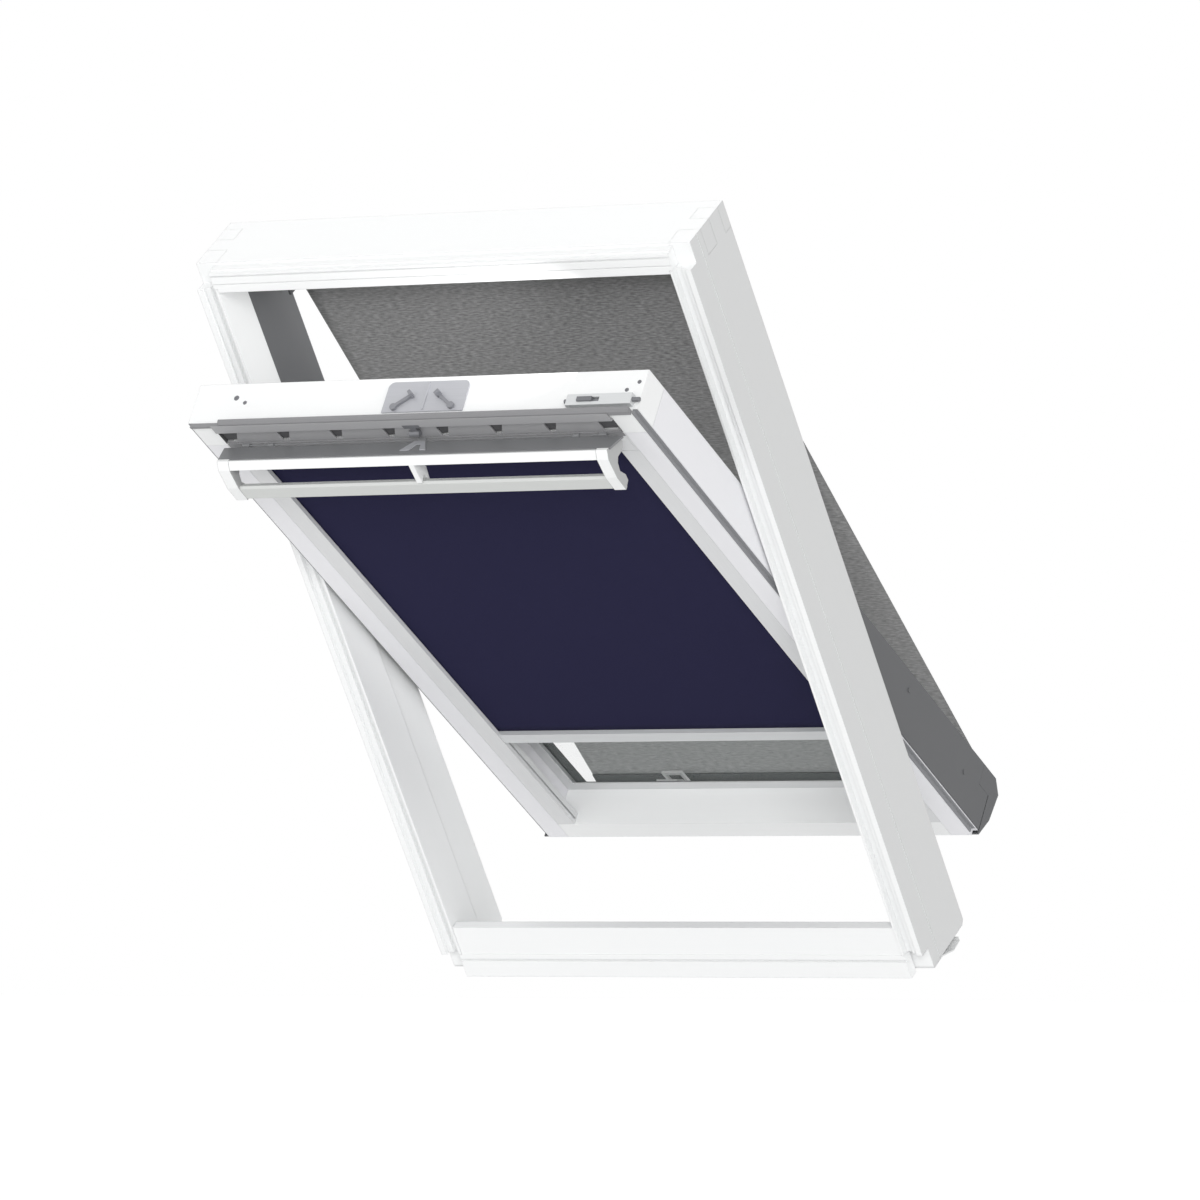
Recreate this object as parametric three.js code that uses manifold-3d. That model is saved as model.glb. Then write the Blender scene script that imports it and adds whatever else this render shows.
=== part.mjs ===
// A centre-pivot roof window, held open, with a blackout blind inside and an awning blind outside.
// Lengths are millimetres and angles are degrees. The window is drawn upright: u runs across it,
// n runs out through the roof and s runs up it. One group then leans it back to the roof's pitch.

import * as THREE from "three";
import { mergeVertices } from "three/addons/utils/BufferGeometryUtils.js";
import Module from "manifold-3d";

const wasm = await Module();
wasm.setup();

// Shared clearances: between pieces that touch, and how far a cutting shape runs past its piece.
const gap = 0.3;
const overrun = 5;

// How many flat faces stand for a round one, by how large it is.
const facets = { small: 12, screw: 16, rod: 20, across: 24, roller: 32, curve: 8 };

// The roof's pitch and how far each moving piece is turned in the pose that is modelled.
const pitch = 54.86;
const sashTurn = 24.8;

// The fixed frame: its outer size, and the stepped section of its side members.
const frame = {
  width: 780,
  height: 1178,
  depth: 107,
  side: 33,
  step: 45,
  stepIn: 4,
  lip: 19,
  lipStop: 32,
  strip: 4,
  groove: 11,
  grooveDepth: 11,
  ledge: 9,
  ledgeDepth: 6,
  slotFrom: 20.5,
  slotWidth: 2,
  slotDepth: 1.5,
  combFirst: 33,
  combPitch: 28,
  chamferRise: 6,
  chamferRun: 7,
};

// The frame's head: its block, and the lip that stands proud of it on the room side.
const head = {
  block: 40,
  lipDrop: 4,
  lip: 33,
  lipReach: 5,
  rebate: 3,
  rebateDepth: 7,
  lines: [{ up: 24.3, wide: 2 }, { up: 12.5, wide: 0.8 }],
};

// The frame's sill: a room-side lip, and the wood wedge that the sash closes over.
const sill = {
  lip: 84.5,
  lipBelow: 6,
  lipBack: 3,
  lipReach: 4,
  stepUp: 39,
  stepDepth: 1,
  grooveUp: 27,
  groove: 3.5,
  grooveDepth: 3,
  wedge: 16,
  wedgeTip: 3,
  wedgeReach: 26,
};

// The bent metal sheet under the sill, which throws water off the window's lower end.
const flange = { sheet: 1.8, flat: 28.6, bulgeFrom: 61, bulge: 12.7, end: 80, endRise: 1.4, hem: 6 };

// The dark metal hood over each side member's upper half.
const hood = {
  pivotClear: 31,
  topRoom: 31,
  rise: 35,
  leg: 3.7,
  sheet: 2,
  top: 9,
  topFall: 2,
  shoulder: 19,
  shoulderFall: 17,
  elbow: 27,
  elbowFall: 29,
  eave: 31,
};

// The pivot on each side: how far above the window's middle and below the frame's outer face.
const pivot = {
  up: 43,
  below: 17,
  pin: 7,
  running: 0.12,
  sashPlate: 2,
  framePlate: 3.1,
  framePlateLow: 28,
  framePlateWide: 60,
  boss: 16,
  legWide: 64,
  legLow: 70,
  legHigh: 24,
};

// The sash: its clearances in the frame, and the sections of its wood members.
const sash = {
  sideClear: 3.5,
  headClear: 20,
  sillClear: 22,
  room: 1,
  thick: 69,
  side: 39.9,
  rail: 45,
  bottomRail: 36,
  rebate: 9,
  rebateIn: 16.4,
  recess: 34,
  recessUp: 2,
  recessDepth: 13,
  recessInset: 41.5,
};

// The soft seal that lines the notch in each side member's room corner.
const seal = { wide: 7.5, deep: 7, wall: 1.4, floor: 0.7, reach: 0.5, stop: 8 };

// The insulated glazing unit and the pale gasket in front of it.
const glazing = {
  pane: 4,
  cavity: 16,
  edge: 13.4,
  headEdge: 14,
  sillEdge: 30,
  sillRoom: 2,
  spacer: 11,
  spacerInset: 1,
  gasket: 16,
  gasketThick: 2,
};

// The dark metal that covers the sash's outer edges.
const cladding = {
  sheet: 1.8,
  low: 8.4,
  high: 28,
  cover: 39.6,
  pivotClear: 42,
  endRoom: 0.3,
  kneeDrop: 19,
  kneeOut: 35,
  toeDrop: 25,
  toeOut: 80,
  brow: 7,
  slimBrow: 9,
  slimTop: 9.3,
  bottomCover: 32,
  screw: 3.5,
  screwProud: 1,
};
const claddingScrews = [
  { down: 336, out: 71 },
  { down: 531, out: 55 },
];

// The slim trims over the glass along the sash's upper half, hidden behind the wood.
const trim = { sheet: 2.2, cover: 17.3, foot: 29.3, footWide: 2.4, headFoot: 12.6 };

// The lock on the sash's top face, and the plate on the frame that it closes into.
const lock = {
  offset: 17.5,
  wide: 127,
  from: 12,
  deep: 48,
  thick: 2.2,
  corner: 9,
  ridge: 3,
  ridgeHigh: 1.2,
  catchAcross: 45,
  strikerAcross: 33,
  catchOut: 19,
  catchRadius: 5,
  catchLong: 32,
  catchWide: 4.5,
  catchThick: 4,
  catchTurn: 53,
  hook: 8,
  hookHigh: 6,
  striker: 2.5,
  strikerSlot: 9,
};

// The barrel bolt beside the lock, and the sleeve in the frame that it enters when the sash is
// turned right over for cleaning.
const bolt = {
  housing: 100,
  housingEnd: 8,
  from: 9,
  deep: 17,
  high: 10,
  radius: 3.2,
  rise: 5.5,
  end: 2.8,
  long: 115,
  knob: 7,
  knobLong: 23,
  knobFrom: 82.2,
  slotStart: 16.5,
  slot: 34,
  sleeve: 7.5,
  sleeveWall: 1.5,
  sleeveLong: 14,
  sleeveDown: 449.5,
  sleeveOut: 34.7,
  holeDeep: 12,
};

// The ventilation grille in the sash head's room face with the pale band above it, and the soft
// strip that lies behind the band on the head's top edge.
const grille = {
  setBack: 2,
  thick: 2,
  high: 28,
  first: 53.5,
  pitch: 84,
  count: 8,
  gapTop: 22.5,
  gapBottom: 9,
  sill: 1.5,
  foot: 8,
  roof: 3.3,
  band: 17.5,
  bandThick: 0.9,
  bandProud: 3.4,
  web: 2.2,
};
const strip = { up: 12, proud: 2.2, back: 4, bevel: 4, stepLong: 48, stepUp: 4 };

// The control bar: a hinged flap, and a handle frame that bends down from its front edge.
const bar = {
  endRoom: 5,
  hingeUp: 1.5,
  hingeOut: 3,
  pin: 1,
  knuckle: 2.6,
  lug: 12,
  lugInset: 20,
  lugHigh: 4,
  arm: 9,
  armInset: 62,
  flapStart: 4.5,
  flapBack: 8,
  flapReach: 36,
  flapRise: 17.5,
  flapThick: 3,
  stripReach: 9,
  stripDrop: 10,
  slotReach: 8.5,
  slotDrop: 31,
  gripReach: 1,
  gripDrop: 28,
  shell: 5,
  gripDeep: 12,
  gripBevel: 3.5,
  post: 18,
  tie: 8,
};

// Outlines behind the handle's face, as shares of its reach and its drop from the hinge line.
const cheekShares = [
  [0.748, 0.957],
  [0.69, 0.774],
  [0.766, 0.495],
  [0.654, 0.292],
  [0.52, 0.219],
  [0.351, 0.284],
  [0.209, 0.301],
  [0.07, 0.215],
];
const tieShares = [
  [0.748, 0.41],
  [0.74, 0.78],
  [0.525, 0.385],
  [0.6, -0.15],
];

// The lever at the middle of the sash head that the control bar works.
const latch = { wide: 26, high: 19, thick: 3, boss: 4.5, bossLong: 16, up: 5 };

// The blackout blind: its cassette and roller, the cloth and the bar at its lower edge.
const blackout = {
  clothOut: 8,
  cloth: 1,
  roll: 18,
  bearing: 6,
  bearingLong: 3,
  cassetteDeep: 47,
  cassetteHigh: 43,
  sheet: 1.8,
  mouth: 6,
  cap: 3,
  channel: 28,
  channelDeep: 18,
  channelSlot: 3.2,
  channelBite: 20,
  barDown: 768,
  barHigh: 22,
  barDeep: 14,
  barTongue: 2,
  barTongueHigh: 16,
  clothBite: 15,
};

// The awning blind: a cassette above the window, the mesh, its bar and the hooks on the sash.
const awning = {
  sideRoom: 19,
  endRoom: 16,
  tangentDown: 89,
  tangentOut: 11,
  roll: 25,
  cloth: 1.2,
  bearing: 6,
  bearingLong: 4,
  shellSheet: 2,
  shellBottom: 119,
  shellTop: 4.5,
  shellHigh: 70,
  shellNose: 8,
  shellShoulder: 62,
  shellMouth: 32,
  capThick: 3,
  hookDown: 46.5,
  hookOut: 19.9,
  rod: 5,
  rail: 17,
  railThick: 4,
  hookAcross: 172,
  hookWide: 34,
  hookThick: 3,
  hookFoot: 19,
  keeperOut: 8,
  keeper: 4,
  keeperHigh: 6,
  keeperLeg: 5,
  keeperTop: 2,
  keeperLow: 33,
};

// Finishes, as the photograph shows them.
const finish = {
  lacquer: { color: 0xf1f1f1, roughness: 0.45, metalness: 0 },
  sashLacquer: { color: 0xededef, roughness: 0.45, metalness: 0 },
  paleMetal: { color: 0xdcdcdc, roughness: 0.5, metalness: 0.3 },
  darkMetal: { color: 0x57585a, roughness: 0.5, metalness: 0.5 },
  greyPlastic: { color: 0xb9bcbf, roughness: 0.5, metalness: 0 },
  darkRubber: { color: 0x6d6e71, roughness: 0.8, metalness: 0 },
  paleRubber: { color: 0xc4c4c8, roughness: 0.7, metalness: 0 },
  midGrey: { color: 0x9b9ca0, roughness: 0.6, metalness: 0 },
  steel: { color: 0xb9bbbf, roughness: 0.35, metalness: 0.8 },
  aluminium: { color: 0xc9ccd0, roughness: 0.4, metalness: 0.6 },
  glass: { color: 0xdfe9ea, roughness: 0.05, metalness: 0 },
  navy: { color: 0x292941, roughness: 0.9, metalness: 0 },
  mesh: { color: 0x77787a, roughness: 0.9, metalness: 0 },
};

const rad = THREE.MathUtils.degToRad;

// Places that several pieces share, worked out from the sizes above. "t" is the sash's own height,
// which equals s while the sash is shut.
const halfWidth = frame.width / 2;
const top = frame.height / 2;
const roomInner = halfWidth - frame.side;
const outerInner = roomInner + frame.stepIn;
const headBottom = top - head.block;
const pivotOut = frame.depth - pivot.below;
const sashHalf = roomInner - sash.sideClear;
const sashTop = headBottom - sash.headClear;
const sashBottom = -top + sash.sillClear;
const sashOut = sash.thick - sash.room;
const lightHalf = sashHalf - sash.side;
const lightTop = sashTop - sash.rail;
const lightBottom = sashBottom + sash.bottomRail;
const paneFloor = sashOut - sash.rebate;
const paneHalf = lightHalf + glazing.edge;
const paneBottom = lightBottom - glazing.sillEdge;
const paneTop = lightTop + glazing.headEdge;
const outerPaneFrom = paneFloor + gap + glazing.pane + glazing.cavity;
const glassOut = outerPaneFrom + glazing.pane;
const claddingOut = sashOut + cladding.high;
const claddingFace = sashHalf + gap + cladding.sheet;
const cornerIn = sashHalf - seal.wide;
const recessHalf = sashHalf - sash.recessInset;
const barHalf = recessHalf - bar.endRoom;
const shellHalf = roomInner - awning.sideRoom;
const awningHalf = shellHalf - awning.endRoom;
const cornerOut = sashOut - overrun;
const boltMiddle = bolt.from + bolt.deep / 2;
const boltAxis = sashTop + gap + bolt.rise;
const sides = [
  { name: "left", sign: -1 },
  { name: "right", sign: 1 },
];

function shapeOf(points) {
  const shape = new THREE.Shape();
  points.forEach(([a, b], index) => (index ? shape.lineTo(a, b) : shape.moveTo(a, b)));
  shape.closePath();
  return shape;
}

function extruded(shape, length) {
  const options = { depth: length, bevelEnabled: false, curveSegments: facets.curve };
  return new THREE.ExtrudeGeometry(shape, options);
}

// A section drawn in (u, n) and run up the window.
function alongS(points, from, to) {
  return extruded(shapeOf(points), to - from).translate(0, 0, from);
}

// A section drawn in (n, s) and run across the window.
function alongU(points, from, to) {
  const across = new THREE.Matrix4().makeBasis(
    new THREE.Vector3(0, 1, 0),
    new THREE.Vector3(0, 0, 1),
    new THREE.Vector3(1, 0, 0),
  );
  return extruded(shapeOf(points), to - from).applyMatrix4(across).translate(from, 0, 0);
}

// A shape drawn in (u, s) and run outwards.
function alongN(shape, from, to) {
  return extruded(shape, to - from).rotateX(Math.PI / 2).translate(0, to, 0);
}

function box([u0, u1], [n0, n1], [s0, s1]) {
  const block = new THREE.BoxGeometry(u1 - u0, n1 - n0, s1 - s0);
  return block.translate((u0 + u1) / 2, (n0 + n1) / 2, (s0 + s1) / 2);
}

// The same box on either side of the window's middle, from the near to the far distance.
function sideBox(sign, [near, far], out, up) {
  return sign > 0 ? box([near, far], out, up) : box([-far, -near], out, up);
}

function sideRange(sign, near, far) {
  return sign > 0 ? [near, far] : [-far, -near];
}

// Round bars across, outwards and up the window.
function rodU(radius, [from, to], n, s, faces = facets.across) {
  const rod = new THREE.CylinderGeometry(radius, radius, to - from, faces);
  return rod.rotateZ(-Math.PI / 2).translate((from + to) / 2, n, s);
}

function rodS(radius, u, n, [from, to]) {
  const rod = new THREE.CylinderGeometry(radius, radius, to - from, facets.rod);
  return rod.rotateX(Math.PI / 2).translate(u, n, (from + to) / 2);
}

function solidOf(geometry) {
  const bare = geometry.clone();
  bare.deleteAttribute("normal");
  bare.deleteAttribute("uv");
  const merged = mergeVertices(bare);
  const vertProperties = new Float32Array(merged.attributes.position.array);
  const triVerts = new Uint32Array(merged.index.array);
  return new wasm.Manifold(new wasm.Mesh({ numProp: 3, vertProperties, triVerts }));
}

function geometryOf(solid) {
  const mesh = solid.getMesh();
  const geometry = new THREE.BufferGeometry();
  geometry.setAttribute("position", new THREE.BufferAttribute(new Float32Array(mesh.vertProperties), 3));
  geometry.setIndex(new THREE.BufferAttribute(new Uint32Array(mesh.triVerts), 1));
  geometry.computeVertexNormals();
  return geometry;
}

function join(first, ...others) {
  return geometryOf(others.reduce((solid, other) => solid.add(solidOf(other)), solidOf(first)));
}

function cut(base, ...tools) {
  return geometryOf(tools.reduce((solid, tool) => solid.subtract(solidOf(tool)), solidOf(base)));
}

function piece(name, geometry, look) {
  const mesh = new THREE.Mesh(geometry, new THREE.MeshStandardMaterial(look));
  mesh.name = name;
  return mesh;
}

// The bands of depth that the head keeps at each corner; the side members keep the ones between.
const combEdges = [0, frame.combFirst, frame.combFirst + frame.combPitch,
  frame.combFirst + 2 * frame.combPitch, frame.depth];
const headBands = [[combEdges[1], combEdges[2]], [combEdges[3], combEdges[4]]];
const sideBands = [[combEdges[0], combEdges[1]], [combEdges[2], combEdges[3]]];

function frameSide({ name, sign }) {
  const edge = sign * halfWidth;
  const inward = (distance) => edge - sign * distance;
  const body = alongS([
    [edge, 0],
    [edge, frame.slotFrom],
    [inward(frame.slotDepth), frame.slotFrom],
    [inward(frame.slotDepth), frame.slotFrom + frame.slotWidth],
    [edge, frame.slotFrom + frame.slotWidth],
    [edge, frame.depth],
    [inward(frame.side - frame.stepIn), frame.depth],
    [inward(frame.side - frame.stepIn), frame.step],
    [inward(frame.side), frame.step],
    [inward(frame.side), 0],
  ], -top, top);
  const outerBand = frame.side - frame.strip - frame.groove - frame.ledge;
  const ledgeEnd = outerBand + frame.ledge;
  const grooveEnd = ledgeEnd + frame.groove;
  const lip = alongS([
    [edge, overrun],
    [edge, -frame.lip],
    [inward(outerBand), -frame.lip],
    [inward(outerBand), -frame.lip + frame.ledgeDepth],
    [inward(ledgeEnd), -frame.lip + frame.ledgeDepth],
    [inward(ledgeEnd), -frame.lip + frame.grooveDepth],
    [inward(grooveEnd), -frame.lip + frame.grooveDepth],
    [inward(grooveEnd), -frame.lip],
    [inward(frame.side), -frame.lip],
    [inward(frame.side), overrun],
  ], -top + frame.lipStop, top - frame.lipStop);
  const notches = headBands.map(([from, to]) => sideBox(
    sign,
    [roomInner - overrun, halfWidth + overrun],
    [from, to === frame.depth ? to + overrun : to],
    [headBottom - gap, top + overrun],
  ));
  const chamfer = alongU([
    [frame.depth - frame.chamferRun, -top],
    [frame.depth - frame.chamferRun, -top - overrun],
    [frame.depth + overrun, -top - overrun],
    [frame.depth + overrun, -top + frame.chamferRise],
    [frame.depth, -top + frame.chamferRise],
  ], ...sideRange(sign, roomInner - overrun, halfWidth + overrun));
  const sleeveHole = rodU(
    bolt.sleeve + gap,
    [roomInner - overrun, roomInner + bolt.sleeveLong + gap],
    bolt.sleeveOut,
    -bolt.sleeveDown,
  );
  const boltHole = rodU(
    bolt.radius + 2 * gap,
    [roomInner - overrun, roomInner + bolt.holeDeep],
    boltMiddle,
    boltAxis,
  );
  const tools = sign > 0 ? [...notches, chamfer, sleeveHole, boltHole] : [...notches, chamfer];
  return piece(`frame_${name}`, cut(join(body, lip), ...tools), finish.lacquer);
}

function frameHead() {
  const block = alongU([
    [0, headBottom],
    [frame.depth, headBottom],
    [frame.depth, top],
    [0, top],
  ], -halfWidth, halfWidth);
  const corners = sides.flatMap(({ sign }) => [
    sideBox(sign, [roomInner - gap, halfWidth + overrun],
      [sideBands[0][0] - overrun, sideBands[0][1] + gap], [headBottom - overrun, top + overrun]),
    sideBox(sign, [outerInner - gap, halfWidth + overrun],
      [sideBands[1][0] - gap, sideBands[1][1] + gap], [headBottom - overrun, top + overrun]),
  ]);
  const lipTop = top - head.lipDrop;
  const lipBottom = lipTop - head.lip;
  const faceOf = (back, bottom) => [
    [back, bottom],
    [back, lipTop],
    [-frame.lip + head.rebateDepth, lipTop],
    [-frame.lip + head.rebateDepth, lipTop - head.rebate],
    [-frame.lip, lipTop - head.rebate],
    ...head.lines.flatMap(({ up, wide }) => [
      [-frame.lip, lipBottom + up + wide],
      [-frame.lip + wide, lipBottom + up + wide],
      [-frame.lip + wide, lipBottom + up],
      [-frame.lip, lipBottom + up],
    ]),
    [-frame.lip, bottom],
  ];
  const lip = alongU(faceOf(overrun, lipBottom), -(roomInner - gap), roomInner - gap);
  const ears = alongU(
    faceOf(-gap, top - frame.lipStop + gap),
    -(roomInner + head.lipReach),
    roomInner + head.lipReach,
  );
  return piece("frame_head", join(cut(block, ...corners), lip, ears), finish.lacquer);
}

function frameSill() {
  const lipBottom = -top - sill.lipBelow;
  const lipTop = lipBottom + sill.lip;
  const face = [
    [-sill.lipBack, lipTop],
    [-frame.lip + sill.stepDepth, lipTop],
    [-frame.lip + sill.stepDepth, lipBottom + sill.stepUp],
    [-frame.lip, lipBottom + sill.stepUp],
    [-frame.lip, lipBottom + sill.grooveUp + sill.groove],
    [-frame.lip + sill.grooveDepth, lipBottom + sill.grooveUp + sill.groove],
    [-frame.lip + sill.grooveDepth, lipBottom + sill.grooveUp],
    [-frame.lip, lipBottom + sill.grooveUp],
    [-frame.lip, lipBottom],
    [-sill.lipBack, lipBottom],
  ];
  const lip = alongU(face, -(roomInner - gap), roomInner - gap);
  const ears = cut(
    alongU(face, -(roomInner + sill.lipReach), roomInner + sill.lipReach),
    box([-halfWidth, halfWidth], [-frame.lip - overrun, overrun], [-top + frame.lipStop - gap, 0]),
  );
  const wedge = alongU([
    [-frame.lip + sill.grooveDepth + sill.lipBack, -top + sill.wedge],
    [-frame.lip + sill.grooveDepth + sill.lipBack, -top],
    [sill.wedgeReach, -top],
    [sill.wedgeReach, -top + sill.wedgeTip],
    [-sill.lipBack, -top + sill.wedge],
  ], -(roomInner - gap), roomInner - gap);
  return piece("frame_sill", join(lip, ears, wedge), finish.lacquer);
}

function sillFlange() {
  const under = -top - gap;
  const profile = [
    [0, under],
    [flange.flat, under],
    [flange.bulgeFrom, under - flange.bulge],
    [flange.end, under - flange.bulge + flange.endRise],
    [flange.end, under - flange.hem],
    [flange.end + flange.sheet, under - flange.hem],
    [flange.end + flange.sheet, under - flange.bulge + flange.endRise - flange.sheet],
    [flange.bulgeFrom - flange.sheet / 4, under - flange.bulge - flange.sheet],
    [flange.flat - flange.sheet / 4, under - flange.sheet],
    [0, under - flange.sheet],
  ];
  return piece("sill_flange", alongU(profile, -halfWidth, halfWidth), finish.paleMetal);
}

function sideHood({ name, sign }) {
  const inner = roomInner;
  const at = (across, out) => [sign * (inner + across), frame.depth + out];
  const outlinePoints = [
    at(0, gap),
    at(0, hood.rise),
    at(hood.top, hood.rise - hood.topFall),
    at(hood.shoulder, hood.rise - hood.shoulderFall),
    at(hood.elbow, hood.rise - hood.elbowFall),
    at(hood.eave, gap),
    at(hood.eave - hood.sheet, gap),
    at(hood.elbow - hood.sheet, hood.rise - hood.elbowFall - hood.sheet / 2),
    at(hood.shoulder - hood.sheet, hood.rise - hood.shoulderFall - hood.sheet / 2),
    at(hood.top - hood.sheet / 2, hood.rise - hood.topFall - hood.sheet),
    at(hood.sheet, hood.rise - hood.sheet),
    at(hood.sheet, gap),
  ];
  const low = pivot.up + hood.pivotClear;
  const shell = alongS(outlinePoints, low, top - hood.topRoom);
  const leg = alongS([
    [sign * inner, frame.step + gap],
    [sign * (inner + hood.leg), frame.step + gap],
    [sign * (inner + hood.leg), frame.depth],
    [sign * (inner + hood.sheet), frame.depth + hood.leg],
    [sign * inner, frame.depth + hood.leg],
  ], low, headBottom - gap);
  return piece(`side_hood_${name}`, join(shell, leg), finish.darkMetal);
}

function framePivotPlate({ name, sign }) {
  const far = outerInner - gap;
  const near = far - pivot.framePlate;
  const plate = sideBox(
    sign,
    [near, far],
    [pivotOut - pivot.framePlateLow, frame.depth - gap],
    [pivot.up - pivot.framePlateWide / 2, pivot.up + pivot.framePlateWide / 2],
  );
  const hole = rodU(pivot.pin + pivot.running,
    sideRange(sign, near - overrun, far + overrun), pivotOut, pivot.up);
  return piece(`frame_pivot_plate_${name}`, cut(plate, hole), finish.steel);
}

// The sash's plate is screwed to the wood and carries the pin that turns in the frame's plate.
function sashPivotPlate({ name, sign }) {
  const near = sashHalf + gap;
  const far = near + pivot.sashPlate;
  const leg = sideBox(
    sign,
    [near, far],
    [pivotOut - pivot.legLow, pivotOut - pivot.legHigh],
    [pivot.up - pivot.legWide / 2, pivot.up + pivot.legWide / 2],
  );
  const neck = sideBox(
    sign,
    [near, far],
    [pivotOut - pivot.legHigh - overrun, pivotOut],
    [pivot.up - pivot.boss, pivot.up + pivot.boss],
  );
  const boss = rodU(pivot.boss, sideRange(sign, near, far), pivotOut, pivot.up);
  const pin = rodU(pivot.pin, sideRange(sign, near, outerInner - 2 * gap), pivotOut, pivot.up);
  return piece(`sash_pivot_${name}`, join(leg, neck, boss, pin), finish.steel);
}

function strikerPlate() {
  const half = lock.wide / 2;
  const plate = box(
    [lock.offset - half, lock.offset + half],
    [lock.from, lock.from + lock.deep],
    [headBottom - gap - lock.striker, headBottom - gap],
  );
  const slots = sides.map(({ sign }) => {
    const middle = lock.offset + sign * lock.strikerAcross;
    return box(
      [middle - lock.strikerSlot, middle + lock.strikerSlot],
      [lock.catchOut + lock.catchLong / 2, lock.from + lock.deep - lock.thick],
      [headBottom - overrun, headBottom],
    );
  });
  return piece("lock_striker_plate", cut(plate, ...slots), finish.steel);
}

function boltSleeve() {
  const mouth = roomInner + gap;
  const tube = rodU(bolt.sleeve, [mouth, mouth + bolt.sleeveLong - gap], bolt.sleeveOut, -bolt.sleeveDown);
  const bore = rodU(
    bolt.sleeve - bolt.sleeveWall,
    [mouth - overrun, mouth + bolt.sleeveLong + overrun],
    bolt.sleeveOut,
    -bolt.sleeveDown,
  );
  return piece("bolt_sleeve", cut(tube, bore), finish.steel);
}

function sashSide({ name, sign }) {
  const at = (across, out) => [sign * across, out];
  const profile = [
    at(lightHalf, -sash.room),
    at(cornerIn, -sash.room),
    at(cornerIn, -sash.room + seal.deep),
    at(sashHalf, -sash.room + seal.deep),
    at(sashHalf, sashOut),
    at(lightHalf + sash.rebateIn, sashOut),
    at(lightHalf + sash.rebateIn, paneFloor),
    at(lightHalf, paneFloor),
  ];
  return piece(`sash_${name}`, alongS(profile, sashBottom, lightTop - gap), finish.sashLacquer);
}

function sashHead() {
  const beam = box([-sashHalf, sashHalf], [-sash.room, sashOut], [lightTop, sashTop]);
  const recess = box(
    [-recessHalf, recessHalf],
    [-sash.room - overrun, -sash.room + sash.recessDepth],
    [lightTop + sash.recessUp, lightTop + sash.recessUp + sash.recess],
  );
  const rebateHalf = lightHalf + sash.rebateIn;
  const rebate = box(
    [-rebateHalf, rebateHalf],
    [paneFloor, sashOut + overrun],
    [lightTop - overrun, lightTop + sash.rebateIn],
  );
  const notches = sides.map(({ sign }) => sideBox(
    sign,
    [cornerIn, sashHalf + overrun],
    [-sash.room - overrun, -sash.room + seal.deep],
    [lightTop - overrun, sashTop + overrun],
  ));
  return piece("sash_head", cut(beam, recess, rebate, ...notches), finish.sashLacquer);
}

function sashSill() {
  const profile = [
    [-sash.room, sashBottom],
    [sashOut, sashBottom],
    [sashOut, paneBottom - glazing.sillRoom],
    [paneFloor, paneBottom - glazing.sillRoom],
    [paneFloor, lightBottom],
    [-sash.room, lightBottom],
  ];
  return piece("sash_sill", alongU(profile, -(lightHalf - gap), lightHalf - gap), finish.sashLacquer);
}

function sideSeal({ name, sign }) {
  const at = (across, out) => [sign * across, -sash.room + out];
  const inner = cornerIn + gap;
  const floor = seal.deep - gap;
  const profile = [
    at(inner, gap),
    at(inner + seal.wall, gap),
    at(inner + seal.wall, floor - seal.floor),
    at(sashHalf - seal.reach, floor - seal.floor),
    at(sashHalf - seal.reach, floor),
    at(inner, floor),
  ];
  const geometry = alongS(profile, sashBottom + seal.stop, sashTop);
  return piece(`side_seal_${name}`, geometry, finish.darkRubber);
}

// A rectangular ring or pane in the plane of the window.
function panel(half, [low, high], border) {
  const shape = shapeOf([[-half, low], [half, low], [half, high], [-half, high]]);
  if (border) {
    const hole = new THREE.Path();
    hole.moveTo(-half + border, low + border);
    hole.lineTo(-half + border, high - border);
    hole.lineTo(half - border, high - border);
    hole.lineTo(half - border, low + border);
    hole.closePath();
    shape.holes.push(hole);
  }
  return shape;
}

function glazingUnit() {
  const paneRange = [paneBottom, paneTop];
  const innerFrom = paneFloor + gap;
  const spacerFrom = innerFrom + glazing.pane + gap;
  const spacerHalf = paneHalf - glazing.spacerInset;
  const spacerRange = [paneBottom + glazing.spacerInset, paneTop - glazing.spacerInset];
  const pane = panel(paneHalf, paneRange);
  const spacer = panel(spacerHalf, spacerRange, glazing.spacer);
  const gasket = panel(lightHalf - gap, [lightBottom + gap, lightTop - gap], glazing.gasket);
  return [
    piece("inner_pane", alongN(pane, innerFrom, innerFrom + glazing.pane), finish.glass),
    piece("outer_pane", alongN(pane, outerPaneFrom, glassOut), finish.glass),
    piece("pane_spacer", alongN(spacer, spacerFrom, outerPaneFrom - gap), finish.darkMetal),
    piece("glazing_gasket", alongN(gasket, paneFloor - glazing.gasketThick, paneFloor), finish.paleRubber),
  ];
}

// An L of sheet metal: a wall down the sash's side, a cover over the glass edge and a hem on it.
function sideCladding({ name, sign }) {
  const wall = sashHalf + gap;
  const low = cladding.low - sash.room;
  const at = (across, out) => [sign * across, out];
  const coverEnd = claddingFace - cladding.cover;
  const profile = [
    at(wall, low),
    at(claddingFace, low),
    at(claddingFace, claddingOut),
    at(coverEnd, claddingOut),
    at(coverEnd, glassOut + gap),
    at(coverEnd + cladding.sheet, glassOut + gap),
    at(coverEnd + cladding.sheet, claddingOut - cladding.sheet),
    at(wall, claddingOut - cladding.sheet),
  ];
  const geometry = alongS(profile, sashBottom + cladding.sheet, pivot.up - cladding.pivotClear);
  const corner = box(
    [-claddingFace - overrun, claddingFace + overrun],
    [cornerOut, claddingOut + overrun],
    [sashBottom - overrun, bottomCoverTop() + gap],
  );
  const heads = claddingScrews.map(({ down, out }) => rodU(
    cladding.screw,
    sideRange(sign, wall + gap, claddingFace + cladding.screwProud),
    out,
    pivot.up - down,
    facets.screw,
  ));
  return piece(`side_cladding_${name}`, join(cut(geometry, corner), ...heads), finish.darkMetal);
}

function bottomCoverTop() {
  return sashBottom + cladding.bottomCover;
}

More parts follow.
